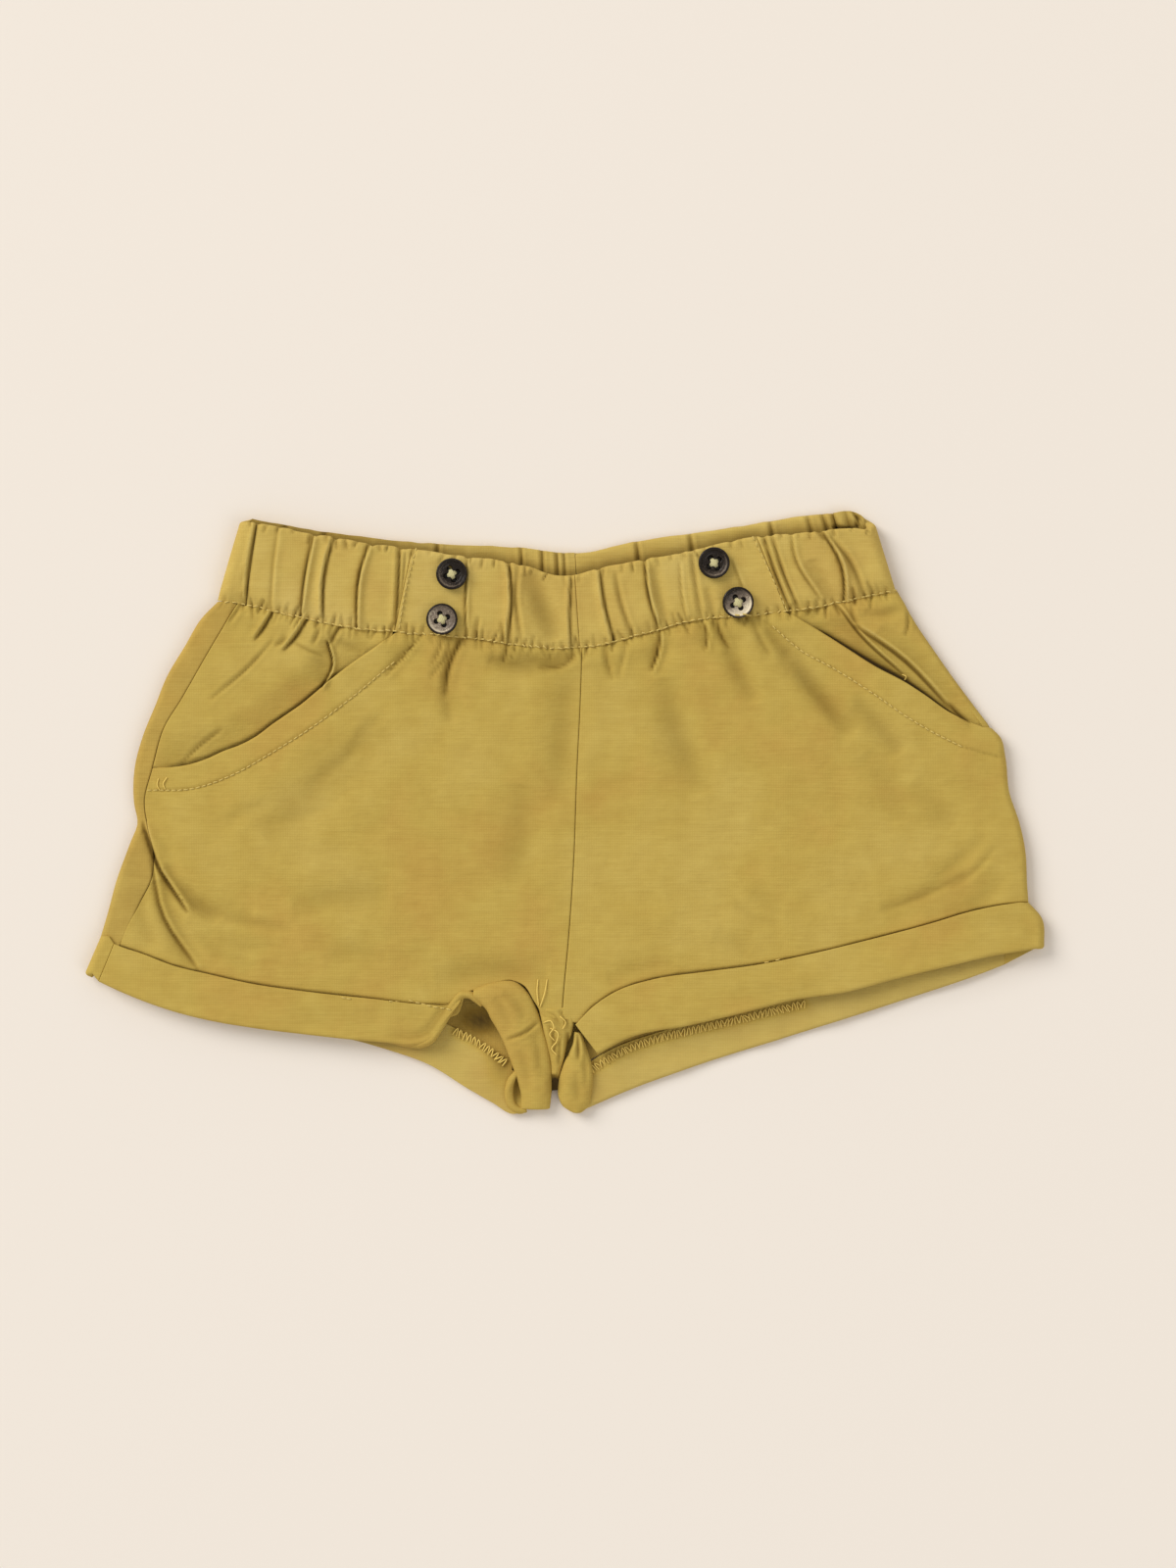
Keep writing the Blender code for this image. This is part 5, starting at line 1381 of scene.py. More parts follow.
# Creases on the inner face of the back casing, which shows above the front
INSIDE_CREASES = (
    Crease(-90, 97, -92, 90, -95, 80, 0.96, 0.7, SHARP),
    Crease(-77, 95, -79, 88, -81, 80, 0.88, 0.6, SHARP),
    Crease(-41.3, 91, -41.6, 84, -42, 75, 0.72, 1, SHARP),
    Crease(-14.4, 89, -14, 82, -13.6, 75, 0.56, 1, SHARP),
    Crease(-7.4, 89, -7.2, 82, -7, 75, 0.64, 1.1, SHARP),
    Crease(-2.9, 89, -2.4, 82, -2, 75, 0.64, 1.1, SHARP),
    Crease(-0.4, 89, 0, 82, 0.4, 75, 0.56, 0.8, SHARP),
    Crease(23, 92, 24, 85, 25, 76, 0.72, 1, SHARP),
    Crease(40.3, 95, 41.5, 88, 43, 78, 0.72, 1, SHARP),
    Crease(66.6, 98.5, 68, 91, 70, 82, 0.72, 1, SHARP),
    Crease(78.7, 100, 80.5, 93, 83, 85, 0.72, 0.9, SHARP),
    Crease(83.2, 100.5, 85.5, 94, 88, 86, 0.72, 1.1, SHARP),
    Crease(86.5, 101, 88.5, 95, 91, 88, 0.8, 0.9, SHARP),
    Crease(87.5, 93.3, 95.4, 92.9, 95.8, 97.4, 0.7, 1.5, SHARP),
    Crease(94, 99, 95.4, 96.8, 97, 95.6, 0.7, 1.2, SHARP),
    Crease(91.5, 100, 93, 95, 95, 88, 0.88, 0.9, SHARP),
)


@dataclass(frozen=True)
class Strip:
    """One cross line of a narrow stretch of hem: its two edges and the height of its middle."""

    x0: float
    y0: float
    x1: float
    y1: float
    level: float


LEFT_INNER = (
    Strip(-29.8, -60.6, -29.6, -57.2, 4.9), Strip(-27.6, -62.2, -24, -55.4, 5.4),
    Strip(-25.4, -64.4, -15.6, -55.3, 5.3), Strip(-24, -67.2, -11.6, -58.9, 4.9),
    Strip(-22.2, -70.2, -9, -64, 4.6), Strip(-20.3, -74, -7.2, -69.4, 4.3),
    Strip(-18.2, -79.2, -5.2, -76.4, 3.9), Strip(-16.4, -84.4, -4.2, -83, 3.4),
    Strip(-15, -89, -4, -88.4, 2.8), Strip(-14.2, -92.8, -4.3, -92.6, 2.2),
    Strip(-14.6, -96.8, -4.8, -96.9, 1.6))
RIGHT_INNER = (
    Strip(3.2, -71.4, 5.6, -71.9, 4.2), Strip(2.8, -75.2, 7.2, -76.4, 4.1),
    Strip(1.2, -78.8, 8.4, -80.2, 3.8), Strip(-0.6, -82.8, 9.2, -84.4, 3.4),
    Strip(-1.9, -87.6, 9.2, -88.2, 3), Strip(-2.1, -92.2, 8.8, -92.6, 2.4),
    Strip(-0.6, -96, 7.8, -96.2, 1.9), Strip(2.2, -97.9, 5.8, -98.1, 1.4))
CROTCH_FOLD = (
    Strip(-8.4, -64, 1.4, -63.2, 4.7), Strip(-7.6, -67.2, 3, -68.2, 5),
    Strip(-6.8, -71.2, 2.4, -71.8, 4.7), Strip(-5.6, -76.4, 1, -76, 4),
    Strip(-4.6, -82, -0.4, -81.4, 3.3), Strip(-4.6, -87, -1.4, -86.4, 2.3),
    Strip(-4.6, -91, -1, -90.6, 1.2))

# Rolled edges: x, y and height of the middle, and radius
LEFT_ROLL = (
    (-56, -74.6, 4.6, 0.9), (-50, -75.3, 5.1, 1.25), (-46.6, -75.3, 5.4, 1.4), (-44, -74.2, 5.6, 1.45),
    (-41.4, -70.9, 5.7, 1.4), (-38.5, -66.2, 5.7, 1.35), (-35.6, -61.6, 5.8, 1.3),
    (-33.3, -59.3, 5.9, 1.3), (-30.8, -59.4, 5.9, 1.3), (-28.6, -61, 5.4, 1.15), (-26.8, -62.9, 4.8, 0.8))
LOOP_ROLL = (
    (-15.6, -84.6, 4, 0.7), (-17.2, -87.2, 3.6, 1.2), (-18.2, -90.4, 3.1, 1.35), (-18, -93.4, 2.6, 1.4),
    (-16.8, -96, 2.1, 1.4), (-14.8, -97.2, 1.8, 1.35), (-12.4, -97, 1.7, 1.1))

# Middles of the coverlock seams on the back hems
COVERLOCK_RIGHT = ((9.4, -83.6), (18.7, -78.2), (30, -74), (45, -70.4), (62, -66.4), (78, -62.6))
COVERLOCK_LEFT = ((-35.5, -71.6), (-28, -75.4), (-19.8, -81.4))

# Creases of the inner thigh stretches and of the cloth bunched between them
THIGH_CREASES = (
    Crease(-18.9, -74, -12.7, -71.4, -8.2, -67.8, 0.6, 0.8, SHARP),
    Crease(-14.5, -77, -12.6, -83, -11.8, -90, 1.6, 0.5),
    Crease(-20, -58.5, -15.5, -62, -12.5, -67, 1.6, 0.6),
    Crease(-22.5, -60, -19.5, -65, -17, -70, 1.4, 0.5),
    Crease(-9.5, -72.5, -8.4, -78, -8, -84, 1.2, 0.4),
    Crease(-7, -65.6, -3.6, -66.4, -1, -69.5, 0.8, 0.8, SHARP),
    Crease(-5, -69, -3.6, -73, -3.2, -79, 0.8, 0.9, SHARP),
    Crease(-1.6, -64.5, 0.4, -66.5, 1, -70, 0.8, 0.8, SHARP),
    Crease(1.2, -71.5, 1.1, -75.5, 0.7, -79.8, 0.7, 1.4, SHARP),
    Crease(-2, -72, -1.6, -76, -1.8, -82, 0.7, 0.7, SHARP),
    Crease(4.2, -72, 4.5, -75.5, 4.6, -80.5, 0.7, 1, SHARP),
    Crease(4, -84, 4.4, -89, 4.6, -94.5, 1.3, 0.5),
    Crease(6.6, -79, 7, -84, 6.8, -90, 0.9, 0.4),
    Crease(-3.6, -85, -2.9, -88, -2.8, -92, 1.6, 1.3, SHARP),
)


@dataclass
class Hems:
    """The turned-up hems: two on the front, two on the back, and the inner thigh stretches."""

    step: float = 0.6
    gap: float = 0.01
    low_radius: float = 1.15     # roundness of the turned edge
    top_radius: float = 0.3      # roundness of the sewn edge
    lip: float = 1.1             # thickness of the sewn edge, which lies over the front
    bulge: tuple[float, float] = (156.1, -34.6)    # middle of the right end, where it swells

    def __post_init__(self) -> None:
        """Draw the ripples."""
        self.ripples = (Ripple(41, 16.0, 8.0, 0.35), Ripple(43, 5.0, 3.5, 0.12))
        self.creases = Creases(THIGH_CREASES)

    def uneven(self, x: Array, y: Array) -> Array:
        """Ripples of a hem."""
        return self.ripples[0].at(x, y) + self.ripples[1].at(x, y)

    def heights(self, plan: Array) -> Array:
        """Outer face of a front hem, which follows the front just above it."""
        above = np.maximum(plan[:1, :, 1], LEFT_SIDE[-1][1])
        level = BODY.lift((plan[:1, :, 0] + plan[-1:, :, 0]) / 2, above) + BODY.hem_step
        return np.broadcast_to(level, plan.shape[:2])

    def thickness(self, plan: Array) -> Array:
        """Wall of a front hem, thin at the sewn edge."""
        share = shares(plan.shape[0])[:, None]
        wall = self.lip + (BODY.hem_wall - self.lip) * ease(share / 0.35)
        return np.broadcast_to(wall, plan.shape[:2])

    def front_left(self) -> Cloth:
        """The left front hem, from the side seam to the rolled end at the inner thigh."""
        start = BODY.hem_seam_share + 0.0005
        top = Line(LEFT_HEM_TOP).part(start, 1.0, 30)
        low = Line(LEFT_HEM_LOW).part(start, 1.0, 30)
        left = Line((top.points[0], low.points[0]))
        right = Line((top.points[-1], low.points[-1]))
        plan = coons(top, low, left, right, spaced(124.0, self.step), spaced(BODY.hem_width, self.step))
        x, y = xy(plan)
        gap, share = Line(LEFT_HEM_LOW).nearest(x, y, 30)
        near_roll = ease((share - 0.74) / 0.12)
        relief = self.uneven(x, y) - 0.7 * bell(gap, 3.2, 1.3) * near_roll
        # painted shade in the hollow beside the rolled end
        tone = -0.4 * bell(gap, 2.6, 0.8) * near_roll
        return Cloth(("hem_front_left",), "hem", (126.0, 15.0),
                     raised(plan, self.heights(plan)), relief, tone, self.thickness(plan),
                     (self.top_radius, self.low_radius, self.top_radius, 0.8),
                     ("hem_back_left_cloth", "front_left_cloth"), rolls=LEFT_ROLL)

    def front_right(self) -> Cloth:
        """The right front hem, turned round the side to the hidden seam."""
        inset = BODY.hem_stack / 2
        fold_low = (RIGHT_HEM_LOW[-1][0] - inset, RIGHT_HEM_LOW[-1][1])
        fold_top = (RIGHT_HEM_TOP[-1][0] - inset, RIGHT_HEM_TOP[-1][1])
        top = Line(tuple(RIGHT_HEM_TOP[:-1]) + (fold_top,))
        low = Line(tuple(RIGHT_HEM_LOW[:-1]) + (fold_low,))
        left = Line((top.points[0], low.points[0]))
        fold = Line((fold_top, (self.bulge[0] - inset, self.bulge[1]), fold_low))
        down = spaced(BODY.hem_width, self.step)
        over = coons(top, low, left, fold, spaced(160.0, self.step, end=False), down)[:, ::-1]
        heights = self.heights(over)
        share = ease(shares(over.shape[1]) * 30)[None]
        heights = BODY.hem_stack + (heights - BODY.hem_stack) * share
        end = fold.moved(-BODY.seam_under, -BODY.hem_slope)
        under = ruled(fold.at(down), end.at(down), spaced(10.0, 0.8, start=False))
        base = wrapped(under, over, heights, 1, BODY.hem_stack)
        relief = self.uneven(*xy(base)) * up_and_down(base)[0]
        return Cloth(("hem_front_right",), "hem", (172.0, 15.0), base,
                     relief, relief * 0.0, self.thickness(base),
                     (self.top_radius, self.low_radius, self.top_radius, self.top_radius),
                     ("hem_back_right_cloth", "front_right_cloth"))

    def back_left(self) -> Cloth:
        """The left back hem, turned round the side to the seam on the front."""
        inset = BODY.hem_stack / 2
        fold_low = (LEFT_BACK_HEM[0][0] + inset, LEFT_BACK_HEM[0][1])
        fold_top = (LEFT_HEM_TOP[0][0] + inset, LEFT_HEM_TOP[0][1])
        inner_top = (LEFT_BACK_HEM[-1][0], BACK_SEAM[-1][1] - self.gap)
        inner = Line(LEFT_BACK_HEM).shifted(BODY.hem_width).points[1:-1]
        top = Line(np.vstack((fold_top, inner, inner_top)))
        low = Line((fold_low,) + tuple(LEFT_BACK_HEM[1:]))
        down = spaced(BODY.hem_width, self.step)
        fold = Line((fold_top, fold_low))
        end = Line((inner_top, LEFT_BACK_HEM[-1]))
        under = coons(top, low, fold, end, spaced(150.0, 0.9, start=False), down)
        seam = Line((Line(LEFT_HEM_TOP).at(BODY.hem_seam_share), Line(LEFT_HEM_LOW).at(BODY.hem_seam_share)))
        upper_fold = Line((fold_top, (LEFT_HEM_LOW[0][0] + inset, LEFT_HEM_LOW[0][1])))
        over = ruled(upper_fold.at(down), seam.at(down), spaced(4.0, 0.6, start=False))
        base = wrapped(under, over, BODY.hem_stack, -1, BODY.hem_stack)
        up, under_side = up_and_down(base)
        x, y = xy(base)
        wall = BODY.hem_wall + self.uneven(x, y) * under_side * 1.5
        relief = self.uneven(x, y) * up * 0.5
        # painted light on the inner face and painted shade between the coverlock loops, then painted shade
        # deep inside the leg and in the hollow of the loop
        shade = self.wrong_side(x, y, COVERLOCK_LEFT)
        shade -= 0.75 * patch(base, -20.5, -82.0, 4.5, 7.0)
        shade -= 1.6 * patch(base, -15.4, -90.5, 1.8, 4.5)
        return Cloth(("hem_back_left",), "hem", (160.0, 15.0), base, relief,
                     relief * 0.0, wall, (self.top_radius, self.low_radius, 0.6, self.top_radius),
                     ("floor",), inner_tone=shade * under_side)

    def back_right(self) -> Cloth:
        """The right back hem, flat on the table; its inner face shows below the front."""
        reach = BODY.hem_stack / 2 + BODY.seam_under - 0.3
        end_low = (RIGHT_HEM_LOW[-1][0] - reach, RIGHT_HEM_LOW[-1][1] - BODY.hem_slope)
        end_top = (RIGHT_HEM_TOP[-1][0] - reach, RIGHT_HEM_TOP[-1][1] - BODY.hem_slope)
        start_top = (RIGHT_BACK_HEM[0][0], RIGHT_BACK_HEM[0][1] + BODY.hem_width)
        inner = Line(RIGHT_BACK_HEM).shifted(BODY.hem_width).points[1:-1]
        top = Line(np.vstack((start_top, inner, end_top)))
        low = Line(tuple(RIGHT_BACK_HEM[:-1]) + (end_low,))
        left = Line((start_top, RIGHT_BACK_HEM[0]))
        right = Line((end_top, (self.bulge[0] - reach, self.bulge[1] - BODY.hem_slope), end_low))
        plan = coons(top, low, left, right, spaced(140.0, 0.8), spaced(BODY.hem_width, self.step))
        x, y = xy(plan)
        relief = self.uneven(x, y) * 1.5 - 0.1
        # painted light on the inner face, painted shade between the coverlock loops
        tone = self.wrong_side(x, y, COVERLOCK_RIGHT)
        return Cloth(("hem_back_right",), "hem", (142.0, 15.0),
                     raised(plan, BODY.hem_wall), relief, tone, BODY.hem_wall + relief,
                     (self.top_radius, self.low_radius, 0.6, 0.05), ("floor",))

    @staticmethod
    def wrong_side(x: Array, y: Array, coverlock: Points) -> Array:
        """Painted tone of a back hem's inner side: a painted highlight makes it pale, with painted shade
        between the loops of its coverlock.
        """
        gap, _ = Line(coverlock).nearest(x, y)
        return 0.3 - 0.75 * bell(gap, 0.0, 1.8)

    def strip(self, name: str, table: Sequence[Strip], wall: float, arch: float, slot: str,
              cut: tuple[float, float], rolls: Rows = (),
              shadow_from: float = -200.0) -> Cloth:
        """A narrow stretch of hem that is seen on its turn.

        Args:
            name: The node that it stands for.
            table: Its cross lines.
            wall: Thickness at its edges.
            arch: How much its middle stands above them.
            slot: Material slot.
            cut: Flat size.
            rolls: A rolled edge that belongs to it.
            shadow_from: The y below which it gets painted shade, deep between the legs.

        Returns:
            The piece.
        """
        left = Line([(s.x0, s.y0) for s in table])
        right = Line([(s.x1, s.y1) for s in table])
        down = spaced(left.length, 0.5)
        width = float(np.hypot(*(left.at(0.5) - right.at(0.5))))
        across = spaced(width, 0.45)
        plan = ruled(left.at(down), right.at(down), across)
        level = hermite(shares(len(table)), np.array([s.level for s in table]), down)
        base = raised(plan, level[:, None] + wall / 2)
        x, y = xy(plan)
        height, tone = self.creases.at(x, y)
        # painted shade deep between the legs
        tone = tone - 1.7 * ease((shadow_from - y) / 3.5)
        relief = arch * np.sin(np.pi * across)[None] ** 0.8 + self.uneven(x, y) * 0.8 + height
        return Cloth((name,), slot, cut, base, relief, tone, wall + relief,
                     (0.8, 0.6, wall * 0.48, wall * 0.48), ("hem_back_left_cloth",), rolls=rolls)

    def pieces(self) -> list[Cloth]:
        """All seven, from the table up."""
        return [self.back_left(), self.back_right(), self.front_left(), self.front_right(),
                self.strip("hem_inner_left", LEFT_INNER, BODY.hem_wall, 1.5, "hem", (14.5, 52.0),
                           LOOP_ROLL),
                self.strip("hem_inner_right", RIGHT_INNER, BODY.hem_wall, 1.4, "hem", (10.0, 30.0)),
                self.strip("crotch_fold", CROTCH_FOLD, 1.6, 1.3, "cloth", (10.0, 25.0),
                           shadow_from=-84.5)]


# Buttons, stitches and threads

def tube(name: str, routes: Sequence[Array], radius: float, finish: Material | None,
         sides: int = 6) -> Object:
    """Lay round threads along routes, closed at both ends.

    Args:
        name: Name of the piece.
        routes: Points of each thread, in millimetres.
        radius: Radius of the thread.
        finish: Its material.
        sides: Sides of its section.

    Returns:
        The piece.
    """
    points: list[Array] = []
    faces: list[list[int]] = []
    angle = np.arange(sides) / sides * 2 * np.pi
    for route in routes:
        ahead = np.gradient(route, axis=0)
        ahead /= np.linalg.norm(ahead, axis=1, keepdims=True)
        side = np.cross(ahead, (0.0, 0.0, 1.0))
        side /= np.maximum(np.linalg.norm(side, axis=1, keepdims=True), 1e-6)
        up = np.cross(side, ahead)
        ring = side[:, None] * np.cos(angle)[None, :, None] + up[:, None] * np.sin(angle)[None, :, None]
        faces += round_faces(len(route), sides, sum(len(p) for p in points))
        points.append((route[:, None] + ring * radius).reshape(-1, 3))
    return made_piece(name, np.concatenate(points), faces, finish)


@dataclass(frozen=True)
class Run:
    """Stitches along routes: the thread's shape, their pitch, unevenness and the piece they are in."""

    name: str
    routes: tuple[Points | Array, ...]
    pitch: float
    shape: str
    on: str = ""
    uneven: float = 0.12


RUNS = (
    Run("waist_stitches", (WAIST_STITCH.shifted(0.35).points[1:-1],), 2.6, "plain", uneven=0.45),
    Run("flap_stitches", (((-53.8, 60.6), (-51.6, 73.0), (-48.5, 85.6)),
                          ((72.2, 66.6), (66.8, 78.5), (61.6, 89.4))), 2.1, "fine"),
    Run("pocket_stitches", (LEFT_TOPSTITCH[:-1], RIGHT_TOPSTITCH[1:-1]), 2.0, "fine"),
    Run("hem_tacks", (((-49.9, -61.3), (-43.6, -62.9), (-37.7, -64.0)), ((-71.8, -60.2), (-70.2, -60.5)),
                      ((-56.4, -61.4), (-54.4, -61.6)), ((66.0, -48.7), (69.6, -47.9))), 2.2, "fine"),
    Run("coverlock_right", (COVERLOCK_RIGHT,), 1.6, "loop", "hem_back_right_cloth", 0.5),
    Run("coverlock_left", (COVERLOCK_LEFT,), 1.6, "loop", "hem_back_left_cloth", 0.5),
)
# Loose threads: points in plan, with a height over the cloth
LOOSE_THREADS = (
    ((-8.6, -54.3, 0.2), (-8.9, -58, 0.5), (-8.4, -62.8, 0.3)),
    ((-5.6, -54.2, 0.2), (-6.4, -58.6, 0.6), (-7.9, -63.2, 0.3)),
    ((-6.8, -68.4, 0.3), (-4.6, -67.6, 0.9), (-3.4, -69.8, 1), (-4.8, -72.2, 0.6), (-3, -74.4, 0.4)),
    ((-4.6, -70.2, 0.3), (-2.2, -71.4, 0.9), (-2.6, -74.6, 0.8), (-4.2, -76.8, 0.5), (-2.4, -79, 0.3)),
    ((-1.4, -66.2, 0.3), (0.4, -68.2, 0.7), (-0.6, -70.4, 0.4)),
    ((110.4, 45.2, 0.2), (111.6, 44.4, 0.7), (111.2, 43.4, 0.4)),
    ((-129.6, 11.6, 0.2), (-130.8, 9.4, 0.4), (-130.2, 7.6, 0.2)),
    ((-132.4, 11.2, 0.2), (-132.8, 9, 0.4), (-132, 7.4, 0.2)),
)


class Needlework:
    """Lays stitches and loose threads on the finished cloth."""

    SEED = 7
    THREAD = 0.19            # radius of a loose thread, in millimetres
    STEP = 0.7               # distance between points of a run's route
    LIFT = (0.0, 0.0, 0.1)   # how far a stitch's middle stands over the cloth
    ABOVE = 100.0            # height from which points are lowered onto the cloth

    def __init__(self) -> None:
        """Build the shapes and the node tree that lays them."""
        bump = np.array((0.0, 0.75, 1.0, 0.75, 0.0))
        share = np.linspace(-1.0, 1.0, 5)
        self.shapes = {
            "plain": self.shape("stitch_plain", share * 0.8, share * 0, bump * 0.3 - 0.16, 0.27),
            "fine": self.shape("stitch_fine", share * 0.7, share * 0, bump * 0.26 - 0.12, 0.23),
            "loop": self.shape("stitch_loop", np.array((-0.7, -0.35, 0.0, 0.35, 0.7)),
                               np.array((-1.3, 0.7, 1.35, 0.7, -1.3)), bump * 0.3 + 0.15, 0.22)}
        self.tree = self.layer()

    @staticmethod
    def shape(name: str, x: Array, y: Array, z: Array, radius: float) -> Object:
        """One stitch as a short bent thread about its middle."""
        return tube(name, [np.column_stack((x, y, z))], radius, None, 5)

    def layer(self) -> Tree:
        """Node tree that repeats a shape along edges, turned to follow them.

        Returns:
            The tree, with the inputs Shape, Pitch, Uneven and Finish.
        """
        tree = bpy.data.node_groups.new("lay_stitches", "GeometryNodeTree")
        face = tree.interface
        for name, kind in (("Geometry", "Geometry"), ("Shape", "Object"), ("Pitch", "Float"),
                           ("Uneven", "Float"), ("Finish", "Material")):
            face.new_socket(name, in_out="INPUT", socket_type=f"NodeSocket{kind}")
        face.new_socket("Geometry", in_out="OUTPUT", socket_type="NodeSocketGeometry")
        node = partial(add_node, tree)
        given = node("NodeGroupInput").outputs
        curve = node("GeometryNodeMeshToCurve", Mesh=given["Geometry"])
        even = node("GeometryNodeResampleCurve", {"mode": "LENGTH"}, Curve=curve.outputs[0],
                    Length=given["Pitch"])
        tangent = node("GeometryNodeInputTangent")
        low, high = (node("ShaderNodeVectorMath", {"operation": "SCALE"}, Vector=(way, way, way),
                          Scale=given["Uneven"]).outputs[0] for way in (-1.0, 1.0))
        stray = node("FunctionNodeRandomValue", {"data_type": "FLOAT_VECTOR"}, i0=low, i1=high,
                     Seed=self.SEED)
        heading = node("ShaderNodeVectorMath", {"operation": "ADD"}, i0=tangent.outputs[0],
                       i1=stray.outputs[0]).outputs[0]
        turned = node("FunctionNodeAlignRotationToVector", {"axis": "X", "pivot_axis": "Z"},
                      Vector=heading)
        tipped = node("FunctionNodeAlignRotationToVector", {"axis": "X", "pivot_axis": "Y"},
                      Rotation=turned.outputs[0], Vector=heading)
        shape = node("GeometryNodeObjectInfo", Object=given["Shape"])
        laid = node("GeometryNodeInstanceOnPoints", Points=even.outputs[0],
                    Instance=shape.outputs["Geometry"], Rotation=tipped.outputs[0])
        real = node("GeometryNodeRealizeInstances", Geometry=laid.outputs[0])
        done = node("GeometryNodeSetMaterial", Geometry=real.outputs[0], Material=given["Finish"])
        node("NodeGroupOutput", Geometry=done.outputs[0])
        return tree

    @staticmethod
    def dropped(route: Array, on: str) -> Array:
        """Lower plan points onto a piece of cloth, or onto whatever lies on top.

        Args:
            route: Plan points in millimetres.
            on: Name of the piece, or nothing.

        Returns:
            Points in millimetres.
        """
        graph = bpy.context.evaluated_depsgraph_get()
        graph.update()
        points = []
        for x, y in route:
            start = (x * MM, y * MM, Needlework.ABOVE * MM)
            if on:
                hit, place, *_ = bpy.data.objects[on].ray_cast(start, (0.0, 0.0, -1.0))
            else:
                hit, place, *_ = bpy.context.scene.ray_cast(graph, start, (0.0, 0.0, -1.0))
            if hit:
                points.append(tuple(c / MM for c in place))
        return np.array(points)

    def lay(self, run: Run, finish: Material) -> None:
        """Lay one run of stitches.

        Args:
            run: The run.
            finish: The thread's material.
        """
        points: list[Array] = []
        edges: list[tuple[int, int]] = []
        for route in run.routes:
            line = Line(route)
            path = self.dropped(line.at(shares(max(int(line.length / self.STEP), 3))), run.on)
            if len(path) < 2:
                log.warning("%s: a route misses the cloth", run.name)
                continue
            start = sum(len(p) for p in points)
            points.append(path + self.LIFT)
            edges += [(start + k, start + k + 1) for k in range(len(path) - 1)]
        mesh = bpy.data.meshes.new(run.name)
        mesh.from_pydata((np.concatenate(points) * MM).tolist(), edges, [])
        made = placed(run.name, mesh)
        layer = made.modifiers.new("stitches", "NODES")
        layer.node_group = self.tree
        sizes = {"Shape": self.shapes[run.shape], "Pitch": run.pitch * MM, "Uneven": run.uneven,
                 "Finish": finish}
        for socket in self.tree.interface.items_tree:
            if socket.in_out == "INPUT" and socket.name in sizes:
                layer[socket.identifier] = sizes[socket.name]
        graph = bpy.context.evaluated_depsgraph_get()
        made_mesh = bpy.data.meshes.new_from_object(made.evaluated_get(graph))
        made.modifiers.remove(layer)
        made.data = made_mesh
        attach(made, "root")
        log.info("%s: %d faces", run.name, len(made_mesh.polygons))

    def sew(self, finish: Material, loose: Material) -> None:
        """Lay every run and the loose threads, then drop the shapes.

        Args:
            finish: Material of the stitches.
            loose: Material of the loose threads and of the coverlock.
        """
        for run in RUNS:
            self.lay(run, loose if run.shape == "loop" else finish)
        routes = []
        for row in LOOSE_THREADS:
            table = np.array(row)
            line = Line(table[:, :2])
            share = shares(14)
            path = self.dropped(line.at(share), "")
            if len(path) == len(share):
                path[:, 2] += hermite(line.run / line.length, table[:, 2], share)
                routes.append(path)
        threads = tube("loose_threads", routes, self.THREAD, loose)
        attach(threads, "root")
        for shape in self.shapes.values():
            bpy.data.objects.remove(shape)


@dataclass(frozen=True)
class Button:
    """One button: place, turn of its holes, tilt, paleness from painted reflection, and the side and strength
    of its painted sheen.
    """

    name: str
    x: float
    y: float
    turn: float
    tilt: tuple[float, float]
    pale: float
    light_side: float
    sheen: float


# pale and sheen paint the reflection of the light; light_side is where the painted sheen is brightest
BUTTONS = (Button("button_left_upper", -36.6, 77.7, 20.0, (0.02, 0.03), -0.85, 225.0, 0.3),
           Button("button_left_lower", -39.8, 63.0, 20.0, (-0.03, -0.02), 0.02, 225.0, 0.3),
           Button("button_right_upper", 48.7, 81.3, 35.0, (0.03, 0.02), -0.8, 300.0, 0.3),
           Button("button_right_lower", 56.5, 68.4, 28.0, (0.05, -0.06), 0.1, 300.0, 1.1))


